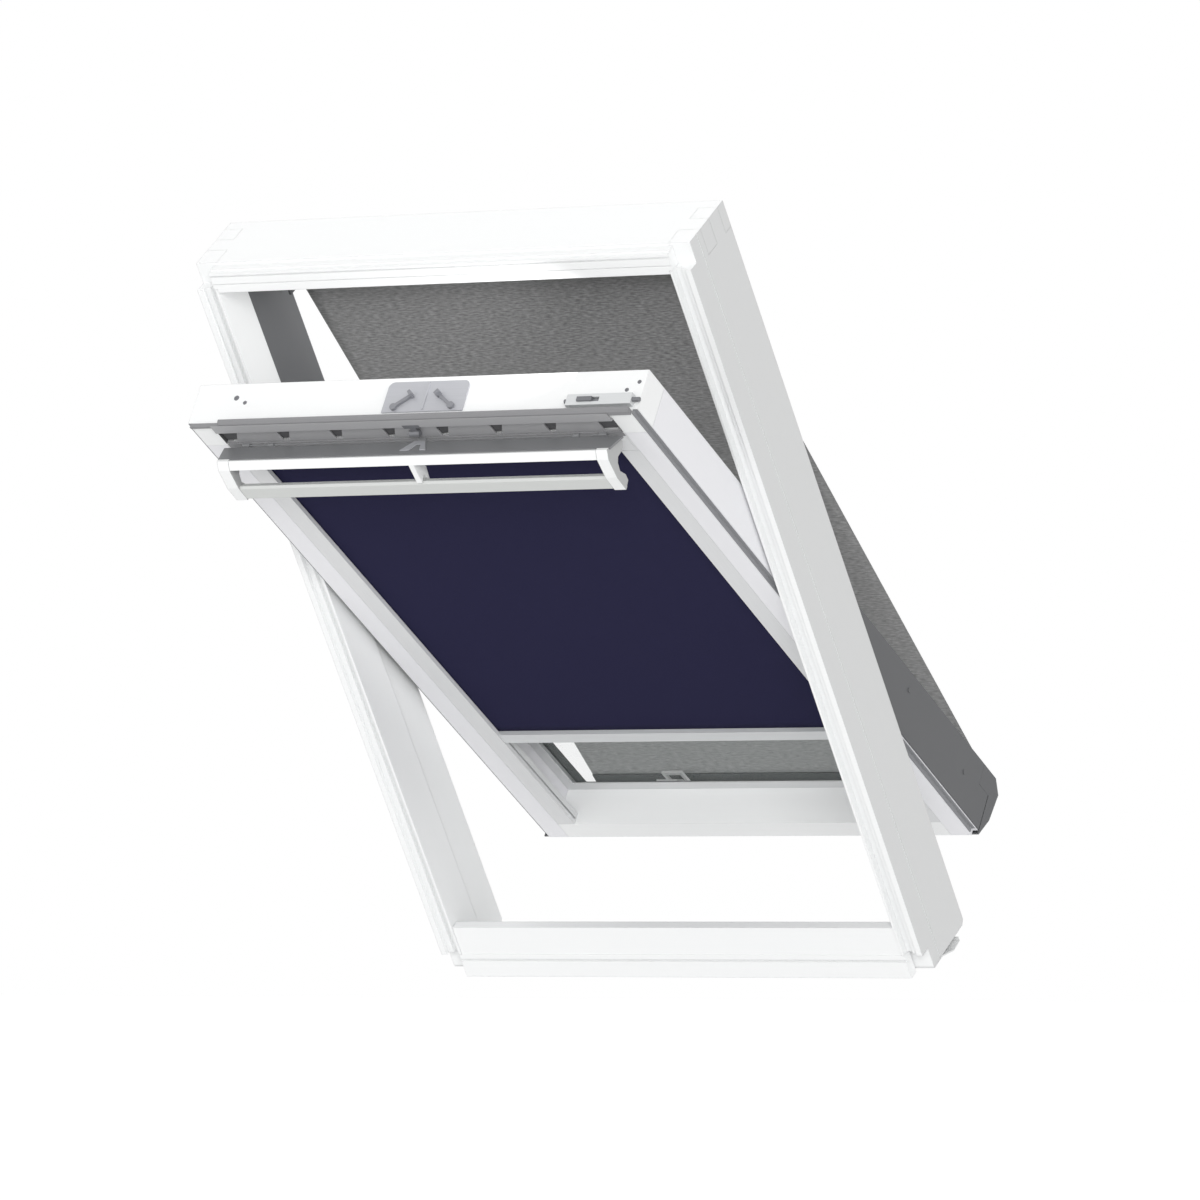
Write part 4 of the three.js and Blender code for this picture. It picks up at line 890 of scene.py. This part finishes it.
@dataclass
class ClothSheet:
    """A taut blind cloth, drawn as one thin sheet with a weave.

    Attributes:
        name: the piece's name.
        half_width: half of its width.
        length: its length.
        thick: its thickness.
        place: puts (across, out, along) arrays into the row's frame.
        ripple: how far its surface wanders from flat.
        columns: how many points it has across.
        rows: how many points it has along.
        ripple_across: how far across it one radian of the ripple is.
        ripple_along: how far along it one radian of the ripple is.
    """

    name: str
    half_width: float
    length: float
    thick: float
    place: Placer
    ripple: float
    columns: int = 41
    rows: int = 61
    ripple_across: float = 61.0
    ripple_along: float = 173.0

    def build(self, finish: Finish) -> bpy.types.Object:
        """Makes the sheet: flat, plus a low slow wave across and along it that dies at its edges.

        Args:
            finish: the cloth's finish.

        Returns:
            The object.
        """
        across = np.linspace(-self.half_width, self.half_width, self.columns)[None, :]
        along = np.linspace(0, self.length, self.rows)[:, None]
        fade = np.sin(np.pi * along / self.length) * np.cos(np.pi * across / (2 * self.half_width))
        out = self.ripple * fade * np.sin(across / self.ripple_across + along / self.ripple_along)
        points = self.place(across, out, along)
        uv = np.stack(np.broadcast_arrays(across, along), axis=-1) * METRES
        faces = grid_faces(self.rows, self.columns)
        piece = mesh_object(self.name, points, faces, material_of(finish), uv=uv, smooth=True)
        wall = piece.modifiers.new("cloth thickness", "SOLIDIFY")
        wall.thickness = self.thick * METRES
        wall.offset = 0.0
        return piece


@dataclass
class WoundRoll:
    """Cloth wound on a tube: a spiral that steps up by one thickness where the cloth leaves it.

    Attributes:
        name: the piece's name.
        tube: the bore's radius.
        outer: the roll's radius.
        half_width: half of the roll's width.
        lap: how far apart the wound edges are drawn at the roll's ends.
        centre: puts (across, one way, other way) arrays about the roll's axis.
        spokes: how many points go round.
    """

    name: str
    tube: float
    outer: float
    half_width: float
    lap: float
    centre: Placer
    spokes: int = 96

    def build(self, finish: Finish) -> bpy.types.Object:
        """Makes the roll as one closed surface: bore, left end, outside, right end.

        Each end steps in and out by half a lap from ring to ring, which draws the wound edges.

        Args:
            finish: the cloth's finish.

        Returns:
            The object.
        """
        turns = np.linspace(0, 1, self.spokes, endpoint=False)[None, :]
        half_lap = self.lap / 2
        rings = np.arange(self.tube, self.outer - self.lap, half_lap)
        end = -self.half_width + np.where(np.arange(len(rings)) % 2 == 0, 0.0, half_lap)
        radius = np.concatenate([rings, [self.outer], [self.outer], rings[::-1]])[:, None]
        side = np.concatenate([end, [-self.half_width], [self.half_width], -end[::-1]])
        spiral = np.where(radius > self.tube, radius - self.lap * turns, radius)
        angle = 2 * np.pi * turns
        across = np.broadcast_to(side[:, None], spiral.shape)
        points = self.centre(across, spiral * np.cos(angle), spiral * np.sin(angle))
        rows = len(radius)
        faces = np.concatenate([grid_faces(rows, self.spokes, wrap=True), self.bore_faces(rows)])
        uv = np.stack(np.broadcast_arrays(across, self.outer * angle), axis=-1) * METRES
        return outward(mesh_object(self.name, points, faces, material_of(finish), uv=uv))

    def bore_faces(self, rows: int) -> np.ndarray:
        """Joins the last ring to the first, which closes the bore.

        Args:
            rows: how many rings the surface has.

        Returns:
            One row of four vertex numbers for each face.
        """
        step = np.arange(self.spokes)
        after = (step + 1) % self.spokes
        last = (rows - 1) * self.spokes
        return np.stack([last + step, last + after, after, step], axis=-1)


def both(name: str) -> tuple[str, str]:
    """Gives the names of a node that the window has at its left and at its right."""
    return f"{name}_left", f"{name}_right"


@dataclass
class SubAssembly:
    """A sub-assembly of the window: CAD nodes to dress, and new pieces to make.

    Attributes:
        nodes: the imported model's nodes.
        label: what the sub-assembly is called in the log.
        coats: which of the nodes have which finish.
    """

    nodes: Mapping[str, bpy.types.Object]
    label: ClassVar[str]
    coats: ClassVar[Mapping[Finish, Sequence[str]]]

    def dress(self) -> None:
        """Gives the CAD nodes their materials."""
        for finish, names in self.coats.items():
            for name in names:
                mesh = self.nodes[name].data
                mesh.materials.clear()
                mesh.materials.append(material_of(finish))

    def pieces(self) -> Iterator[bpy.types.Object]:
        """Makes the new pieces one by one. A sub-assembly without any keeps this empty list."""
        yield from ()


@dataclass
class FixedFrame(SubAssembly):
    """The white frame, its hoods and its small metal parts."""

    label: ClassVar[str] = "fixed frame"
    coats: ClassVar[Mapping[Finish, Sequence[str]]] = {
        Finish.FRAME_UP: both("frame"),
        Finish.FRAME_ACROSS: ("frame_head", "frame_sill"),
        Finish.FLANGE_METAL: ("sill_flange",),
        Finish.HOOD_PAINTED_LIGHT: both("side_hood"),
        Finish.ZINC: (*both("frame_pivot_plate"), "lock_striker_plate", "bolt_sleeve"),
    }


@dataclass
class Sash(SubAssembly):
    """The turning sash with its glass, claddings, seals, lock plate and grille.

    Attributes:
        top: the height of the sash head's top edge.
        foam: the filter's near and far faces, then its low and high ones.
        foam_half: half of the filter's width.
        foam_round: the radius of the filter's soft edges.
        shade_sheet: the near face, far face and depth into the recess of the strip of painted shade, then its
            low edge and fold.
        shade_sheet_half: half of that strip's width.
        shade_liner: how far across the two faces of each end sheet of painted shade lie.
        shade_liner_end: how deep and how high those end sheets reach.
        shade_liner_gap: how far over the strip's fold they start.
        top_screws: each screw's place across and out, and its head's radius.
    """

    label: ClassVar[str] = "sash"
    coats: ClassVar[Mapping[Finish, Sequence[str]]] = {
        Finish.SASH_UP: both("sash"),
        Finish.FRAME_ACROSS: ("sash_head", "sash_sill"),
        Finish.SEAL: both("side_seal"),
        Finish.GLASS: ("inner_pane", "outer_pane"),
        Finish.ANODISED: ("pane_spacer", "barrel_bolt_plate"),
        Finish.GASKET: ("glazing_gasket",),
        Finish.DARK_METAL: (*both("side_cladding"), "bottom_cladding", *both("upper_trim"), "head_trim"),
        Finish.ZINC: (*both("sash_pivot"), "lock_plate"),
        Finish.DARK_STEEL: ("barrel_bolt", "centre_latch"),
        Finish.WORN_STEEL: both("lock_catch"),
        Finish.BAR_DARK: ("bar_hinge_pin",),
        Finish.GRILLE: ("vent_grille",),
        Finish.STRIP: ("vent_strip",),
    }
    top: float = 529.0
    foam: tuple[float, float, float, float] = (3.4, 11.4, 490.8, 517.0)
    foam_half: float = 311.4
    foam_round: float = 0.8
    shade_sheet: tuple[float, float, float, float, float] = (-1.27, -1.03, 0.9, 476.6, 486.05)
    shade_sheet_half: float = 311.0
    shade_liner: tuple[float, float] = (311.75, 311.95)
    shade_liner_end: tuple[float, float] = (11.0, 516.0)
    shade_liner_gap: float = 0.4
    top_screws: tuple[tuple[float, float, float], ...] = (
        (-288.0, 45.0, 4.0),
        (-272.0, 37.0, 3.0),
        (328.0, 37.0, 3.0),
        (344.0, 49.0, 3.0),
    )

    def filter_foam(self) -> bpy.types.Object:
        """Makes the air filter behind the grille, whose dark grey is painted shade: a closed bar of foam
        along the recess.

        Returns:
            The object.
        """
        n0, n1, t0, t1 = self.foam
        outline = [(n0, t0), (n1, t0), (n1, t1), (n0, t1)]
        ends = (-self.foam_half, self.foam_half)
        foam = bar_of_section(
            "vent_filter_foam", outline, ends, AXES.across_sash, Finish.SHADOW_FOAM, self.foam_round
        )
        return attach(foam, "sash")

    def painted_shade_strip(self) -> bpy.types.Object:
        """Makes a thin grey sheet of painted shade that edges the grille's recess along its lower side.

        Returns:
            The object.
        """
        near, far, deep, low, high = self.shade_sheet
        fold = high + far - near
        outline = [(near, low), (far, low), (far, high), (deep, high), (deep, fold), (near, fold)]
        ends = (-self.shade_sheet_half, self.shade_sheet_half)
        shade_sheet = bar_of_section("grille_seat_strip", outline, ends, AXES.across_sash, Finish.STRIP)
        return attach(shade_sheet, "sash")

    def recess_liner(self, name: str, side: int) -> bpy.types.Object:
        """Makes a dark sheet of painted shade on one of the two end walls of the grille's recess.

        Args:
            name: the piece's name.
            side: -1 for the left wall and 1 for the right one.

        Returns:
            The object.
        """
        near, low = self.shade_sheet[0], self.shade_sheet[-1] + self.shade_liner_gap
        deep, high = self.shade_liner_end
        outline = [(near, low), (deep, low), (deep, high), (near, high)]
        ends = (side * self.shade_liner[0], side * self.shade_liner[1])
        shade_liner = bar_of_section(name, outline, ends, AXES.across_sash, Finish.SHADOW_FOAM)
        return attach(shade_liner, "sash")

    def screw(self, number: int, u: float, n: float, radius: float) -> bpy.types.Object:
        """Makes one screw head on the sash head's top edge.

        Args:
            number: its number, from the left.
            u: its place across.
            n: its place out.
            radius: its head's radius.

        Returns:
            The object.
        """

        def place(first: np.ndarray, second: np.ndarray, height: np.ndarray) -> np.ndarray:
            """Puts the head's points on the sash head."""
            return AXES.on_sash(u + first, n + second, self.top + height)

        screw = PanScrew(radius).build(f"sash_screw_{number}", place, Finish.DARK_STEEL)
        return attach(screw, "sash")

    def pieces(self) -> Iterator[bpy.types.Object]:
        """Makes the foam, the sheets of painted shade and the screws, whose places the picture shows.

        Returns:
            Each object in turn.
        """
        yield self.filter_foam()
        yield self.painted_shade_strip()
        for name, side in zip(both("recess_liner"), (-1, 1)):
            yield self.recess_liner(name, side)
        for number, spot in enumerate(self.top_screws, start=1):
            yield self.screw(number, *spot)


@dataclass
class ControlBar(SubAssembly):
    """The bar along the sash head that opens the flap and works the lock.

    Attributes:
        hinge: how far out and up the flap's hinge line lies.
        rise: the flap's reach and rise from that line.
        fork_outline: the corners of the fork on the flap, across and away from the hinge line.
        fork_heights: its lower and upper face over the flap.
        fork_round: the radius of its edges.
    """

    label: ClassVar[str] = "control bar"
    coats: ClassVar[Mapping[Finish, Sequence[str]]] = {
        Finish.BAR_DARK: ("bar_flap",),
        Finish.WHITE_METAL: ("bar_front_strip",),
        Finish.BAR_END: both("bar_end"),
        Finish.GRIP: ("bar_grip",),
    }
    hinge: tuple[float, float] = (-4.0, 485.5)
    rise: tuple[float, float] = (-36.0, 17.5)
    fork_outline: tuple[tuple[float, float], ...] = (
        (-22.0, 27.0),
        (-10.0, 4.0),
        (7.0, 4.0),
        (19.0, 27.0),
        (9.0, 27.0),
        (4.0, 12.0),
        (-2.0, 12.0),
        (-8.0, 27.0),
    )
    fork_heights: tuple[float, float] = (0.1, 1.6)
    fork_round: float = 0.3

    def on_flap(self, across: Length, away: Length, over: Length) -> np.ndarray:
        """Puts points of the flap into the row's frame.

        Args:
            across: distance to the side.
            away: distance from the hinge line along the flap.
            over: height over the flap's upper face.

        Returns:
            The points, in metres.
        """
        out, up = self.rise / np.hypot(*self.rise)
        n = self.hinge[0] + out * away + up * over
        t = self.hinge[1] + up * away - out * over
        return AXES.on_sash(across, n, t)

    def pieces(self) -> Iterator[bpy.types.Object]:
        """Makes the pressed fork on the flap, which takes hold of the centre latch.

        Returns:
            The fork alone.
        """
        outline, heights = self.fork_outline, self.fork_heights
        fork = bar_of_section("latch_fork", outline, heights, self.on_flap, Finish.ZINC, self.fork_round)
        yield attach(fork, "control_bar")


@dataclass
class BlackoutBlind(SubAssembly):
    """The inner blind: cassette, roll, cloth, bottom bar and side channels.

    Attributes:
        cloth_out: how far out the cloth's middle plane lies.
        cloth_top: the height of the line where the cloth leaves the roll.
        cloth_low: the height of the line where it enters the bar.
        half_width: half of the cloth's width.
        thick: the cloth's thickness.
        ripple: how far it wanders from flat.
        roller_out: how far out the roller's axis lies.
        roll: the wound roll's radius.
        tube: its bore's radius.
        roll_half: half of its width.
        lap: how far apart its wound edges are drawn.
    """

    label: ClassVar[str] = "blackout blind"
    coats: ClassVar[Mapping[Finish, Sequence[str]]] = {
        Finish.CHANNEL: ("blackout_cassette", *both("blackout_end"), *both("blackout_channel")),
        Finish.ANODISED: ("blackout_bar",),
    }
    cloth_out: float = 6.7
    cloth_top: float = 462.2
    cloth_low: float = -283.7
    half_width: float = 300.3
    thick: float = 0.4
    ripple: float = 0.12
    roller_out: float = 25.0
    roll: float = 18.0
    tube: float = 6.4
    roll_half: float = 310.0
    lap: float = 0.8

    def on_cloth(self, across: Length, out: Length, along: Length) -> np.ndarray:
        """Places points measured from the middle of the cloth's lower edge."""
        return AXES.on_sash(across, self.cloth_out + out, self.cloth_low + along)

    def about_roller(self, across: Length, one: Length, other: Length) -> np.ndarray:
        """Places points measured from the roller's axis."""
        return AXES.on_sash(across, self.roller_out + one, self.cloth_top + other)

    def cloth(self) -> bpy.types.Object:
        """Makes the cloth, from the bar up to the line where it leaves the roll.

        Returns:
            The object.
        """
        length = self.cloth_top - self.cloth_low
        sheet = ClothSheet(
            "blackout_fabric", self.half_width, length, self.thick, self.on_cloth, self.ripple
        ).build(Finish.BLACKOUT)
        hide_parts("blackout_cloth")
        start = self.on_cloth(0.0, 0.0, length)
        end = self.on_cloth(0.0, 0.0, 0.0)
        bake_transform(sheet)
        return sheet

    def wound(self) -> bpy.types.Object:
        """Makes the cloth that is still on the roller.

        Returns:
            The object.
        """
        roll = WoundRoll(
            "blackout_roll", self.tube, self.roll, self.roll_half, self.lap, self.about_roller
        ).build(Finish.BLACKOUT)
        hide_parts("blackout_roller")
        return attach(roll, "blackout_roller")

    def pieces(self) -> Iterator[bpy.types.Object]:
        """Makes the cloth and the roll."""
        yield self.cloth()
        yield self.wound()


@dataclass
class AwningBlind(SubAssembly):
    """The outer blind: cassette, roll, mesh, bar and the hooks that hold the bar.

    Attributes:
        bar_out: how far out the bar's rod lies.
        bar_up: the rod's height.
        tangent_out: how far out the line lies where the mesh leaves the roll.
        tangent_up: that line's height.
        half_width: half of the mesh's width.
        rail: how far from the rod the mesh starts.
        thick: the mesh's thickness.
        ripple: how far it wanders from flat.
        rows: how many points it has along.
        roll: the wound roll's radius.
        roller_step: how far from the mesh the roller's axis lies.
        tube: the roll's bore's radius.
        roll_half: half of its width.
        lap: how far apart its wound edges are drawn.
    """

    label: ClassVar[str] = "awning blind"
    coats: ClassVar[Mapping[Finish, Sequence[str]]] = {
        Finish.DARK_METAL: ("awning_cassette", *both("awning_cap")),
        Finish.RAIL_DARK: ("awning_bar",),
        Finish.WHITE_METAL: both("awning_hook"),
    }
    bar_out: float = 388.88
    bar_up: float = -542.09
    tangent_out: float = 118.0
    tangent_up: float = 500.0
    half_width: float = 322.0
    rail: float = 22.3
    thick: float = 0.6
    ripple: float = 0.5
    rows: int = 81
    roll: float = 25.0
    roller_step: float = 26.2
    tube: float = 6.4
    roll_half: float = 334.4
    lap: float = 1.2

    def lean(self) -> float:
        """Gives the angle between the mesh and the frame, in radians."""
        return math.atan2(self.bar_out - self.tangent_out, self.tangent_up - self.bar_up)

    def length(self) -> float:
        """Gives the distance from the bar's rod to the line where the mesh leaves the roll."""
        return math.hypot(self.bar_out - self.tangent_out, self.tangent_up - self.bar_up)

    def along_mesh(self, across: Length, out: Length, along: Length) -> np.ndarray:
        """Places points measured from the mesh's lower edge up the mesh.

        Args:
            across: distances across the window.
            out: distances square to the mesh.
            along: distances up the mesh from its lower edge.

        Returns:
            Points in metres.
        """
        a = self.lean()
        up = self.rail + along
        n = self.bar_out + out * math.cos(a) - up * math.sin(a)
        s = self.bar_up + out * math.sin(a) + up * math.cos(a)
        return AXES.on_frame(across, n, s)

    def about_roller(self, across: Length, one: Length, other: Length) -> np.ndarray:
        """Places points measured from the roller's axis, which lies square to the mesh's upper edge.

        Args:
            across: distances across the window.
            one: distances out.
            other: distances up the frame.

        Returns:
            Points in metres.
        """
        n = self.tangent_out + self.roller_step * math.cos(self.lean())
        s = self.tangent_up + self.roller_step * math.sin(self.lean())
        return AXES.on_frame(across, n + one, s + other)

    def cloth(self) -> bpy.types.Object:
        """Makes the mesh, from the bar up to the line where it leaves the roll.

        Returns:
            The object.
        """
        length = self.length() - self.rail
        sheet = ClothSheet(
            "awning_mesh", self.half_width, length, self.thick, self.along_mesh, self.ripple, rows=self.rows
        ).build(Finish.AWNING)
        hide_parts("awning_cloth")
        start = self.along_mesh(0.0, 0.0, 0.0)
        end = self.along_mesh(0.0, 0.0, length)
        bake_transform(sheet)
        return sheet

    def wound(self) -> bpy.types.Object:
        """Makes the mesh that is still on the roller.

        Returns:
            The object.
        """
        roll = WoundRoll(
            "awning_roll", self.tube, self.roll, self.roll_half, self.lap, self.about_roller
        ).build(Finish.AWNING)
        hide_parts("awning_roller")
        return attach(roll, "awning_roller")

    def pieces(self) -> Iterator[bpy.types.Object]:
        """Makes the mesh and the roll."""
        yield self.cloth()
        yield self.wound()


@dataclass(frozen=True)
class Sun:
    """One soft distant lamp.

    Attributes:
        name: the lamp's name.
        direction: the way that its light travels.
        strength: its strength.
        spread: how wide it looks from the object, in degrees.
    """

    name: str
    direction: tuple[float, float, float]
    strength: float
    spread: float


@dataclass(frozen=True)
class Studio:
    """A pale floor, a white surround, soft light and the photograph's camera.

    Attributes:
        eye: the camera's place in metres.
        right: the camera's right-hand direction.
        up: the camera's upward direction.
        forward: the direction that it looks in.
        focal_pixels: its focal length in pixels of the picture.
        picture_pixels: how wide the picture is in pixels.
        sensor: how wide the camera's sensor is.
        sight: how far the camera sees, in metres.
        floor_height: the floor's height in metres.
        floor_half: half of the floor's side in metres.
        floor_colour: the floor's colour.
        floor_lift: how much the floor is lifted towards white where it is looked at.
        surround: the strength of the even light from all round.
        suns: the distant lamps.
        fill_from: the place of the small lamp near the object, on the frame's axes.
        fill_at: the point that it faces.
        fill_watts: its power.
        fill_side: the length of its sides.
        fill_spread: the angle that it lights, in degrees.
    """

    eye: tuple[float, float, float] = (6.3465, -10.3818, -0.9135)
    right: tuple[float, float, float] = (0.86144, 0.50786, 0.0)
    up: tuple[float, float, float] = (0.01737, -0.02946, 0.99942)
    forward: tuple[float, float, float] = (-0.50756, 0.86094, 0.0342)
    focal_pixels: float = 9022.21
    picture_pixels: float = 1200.0
    sensor: float = 36.0
    sight: float = 100.0
    floor_height: float = -1.5
    floor_half: float = 40.0
    floor_colour: str = "fafafa"
    floor_lift: float = 0.25
    surround: float = 0.54
    suns: tuple[Sun, ...] = (
        Sun("left_light", (0.5, 0.85, -0.1), 0.55, 45.0),
        Sun("front_light", (-0.48, 0.87, -0.1), 1.55, 25.0),
        Sun("right_light", (-0.85, 0.5, -0.1), 0.42, 40.0),
        Sun("sky_light", (0.1, -0.5, -0.85), 0.8, 60.0),
    )
    fill_from: tuple[float, float, float] = (250.0, -85.0, 505.0)
    fill_at: tuple[float, float, float] = (-361.0, 50.0, 430.0)
    fill_watts: float = 0.3
    fill_side: float = 120.0
    fill_spread: float = 70.0

    def camera(self) -> None:
        """Makes the camera and sets it as the scene's."""
        data = bpy.data.cameras.new("camera")
        data.sensor_width = self.sensor
        data.lens = self.focal_pixels / self.picture_pixels * self.sensor
        data.clip_end = self.sight
        camera = bpy.data.objects.new("camera", data)
        camera.location = self.eye
        back = -Vector(self.forward)
        turn = Matrix((Vector(self.right), Vector(self.up), back)).transposed()
        camera.rotation_mode = "QUATERNION"
        camera.rotation_quaternion = turn.to_quaternion()
        bpy.context.scene.collection.objects.link(camera)
        bpy.context.scene.camera = camera

    def hang(self, data: bpy.types.Light, direction: Vector) -> bpy.types.Object:
        """Puts a lamp into the scene and turns it.

        Args:
            data: the lamp's light.
            direction: the way that it shines.

        Returns:
            The lamp.
        """
        lamp = bpy.data.objects.new(data.name, data)
        lamp.rotation_mode = "QUATERNION"
        lamp.rotation_quaternion = direction.to_track_quat("-Z", "Y")
        bpy.context.scene.collection.objects.link(lamp)
        return lamp

    def lamps(self) -> None:
        """Makes the soft distant lamps, and the small one near the object, which neither the eye nor a gloss
        sees.
        """
        for sun in self.suns:
            data = bpy.data.lights.new(sun.name, "SUN")
            data.energy = sun.strength
            data.angle = math.radians(sun.spread)
            self.hang(data, Vector(sun.direction))
        fill = bpy.data.lights.new("opening_light", "AREA")
        fill.energy = self.fill_watts
        fill.size = self.fill_side * METRES
        fill.spread = math.radians(self.fill_spread)
        start = AXES.on_frame(*self.fill_from)
        lamp = self.hang(fill, Vector(AXES.on_frame(*self.fill_at) - start))
        lamp.location = start
        lamp.visible_camera = False
        lamp.visible_glossy = False

    def white_for_view(self, tree: bpy.types.NodeTree) -> bpy.types.NodeSocket:
        """Gives one for rays that come from the eye, a gloss or a pane, and nought for the rest.

        Args:
            tree: the node tree to add to.

        Returns:
            The socket that carries the factor.
        """
        path = add_node(tree, "ShaderNodeLightPath", {}, {}).outputs
        eye_or_pane = {0: path["Is Camera Ray"], 1: path["Is Transmission Ray"]}
        seen = add_node(tree, "ShaderNodeMath", {"operation": "MAXIMUM"}, eye_or_pane).outputs[0]
        or_gloss = {0: seen, 1: path["Is Glossy Ray"]}
        return add_node(tree, "ShaderNodeMath", {"operation": "MAXIMUM"}, or_gloss).outputs[0]

    def world(self) -> None:
        """Makes a surround that is white to look at and lights the object evenly."""
        world = bpy.data.worlds.new("surround")
        bpy.context.scene.world = world
        world.use_nodes = True
        tree = world.node_tree
        tree.nodes.clear()
        levels = {0: self.white_for_view(tree), 3: self.surround, 4: 1.0}
        strength = add_node(tree, "ShaderNodeMapRange", {}, levels).outputs[0]
        even = {"Color": (1.0, 1.0, 1.0, 1.0), "Strength": strength}
        light = add_node(tree, "ShaderNodeBackground", {}, even).outputs[0]
        add_node(tree, "ShaderNodeOutputWorld", {}, {0: light})

    def floor(self) -> None:
        """Makes the floor: pale, lit by the lamps, and lifted towards white where it is looked at."""
        half, height = self.floor_half, self.floor_height
        corners = [(-half, -half, height), (half, -half, height), (half, half, height), (-half, half, height)]
        material = bpy.data.materials.new("pale_floor")
        material.use_nodes = True
        tree = material.node_tree
        tree.nodes.clear()
        pale = linear(self.floor_colour)
        matt = add_node(tree, "ShaderNodeBsdfDiffuse", {}, {"Color": pale}).outputs[0]
        lifted = {"Color": pale, "Strength": self.floor_lift}
        lift = add_node(tree, "ShaderNodeEmission", {}, lifted).outputs[0]
        dark = add_node(tree, "ShaderNodeEmission", {}, {"Strength": 0.0}).outputs[0]
        choice = {0: self.white_for_view(tree), 1: dark, 2: lift}
        glow = add_node(tree, "ShaderNodeMixShader", {}, choice).outputs[0]
        sum_of_both = add_node(tree, "ShaderNodeAddShader", {}, {0: matt, 1: glow}).outputs[0]
        add_node(tree, "ShaderNodeOutputMaterial", {}, {0: sum_of_both})
        mesh_object("floor", np.array(corners), [(0, 1, 2, 3)], material)

    def build(self) -> None:
        """Makes the camera, the surround, the floor and the lamps."""
        self.camera()
        self.world()
        self.floor()
        self.lamps()
        bpy.context.scene.view_settings.view_transform = "Standard"


def main() -> None:
    """Builds the window's looks in order and reports each part."""
    logging.basicConfig(level=logging.INFO, format="%(name)s: %(message)s")
    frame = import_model()
    Studio().build()
    for kind in (FixedFrame, Sash, ControlBar, BlackoutBlind, AwningBlind):
        part = kind(frame["nodes"])
        part.dress()
        LOG.info("dressed the %s", part.label)
        for piece in part.pieces():
            LOG.info("made %s", piece.name)


if __name__ == "__main__":
    main()
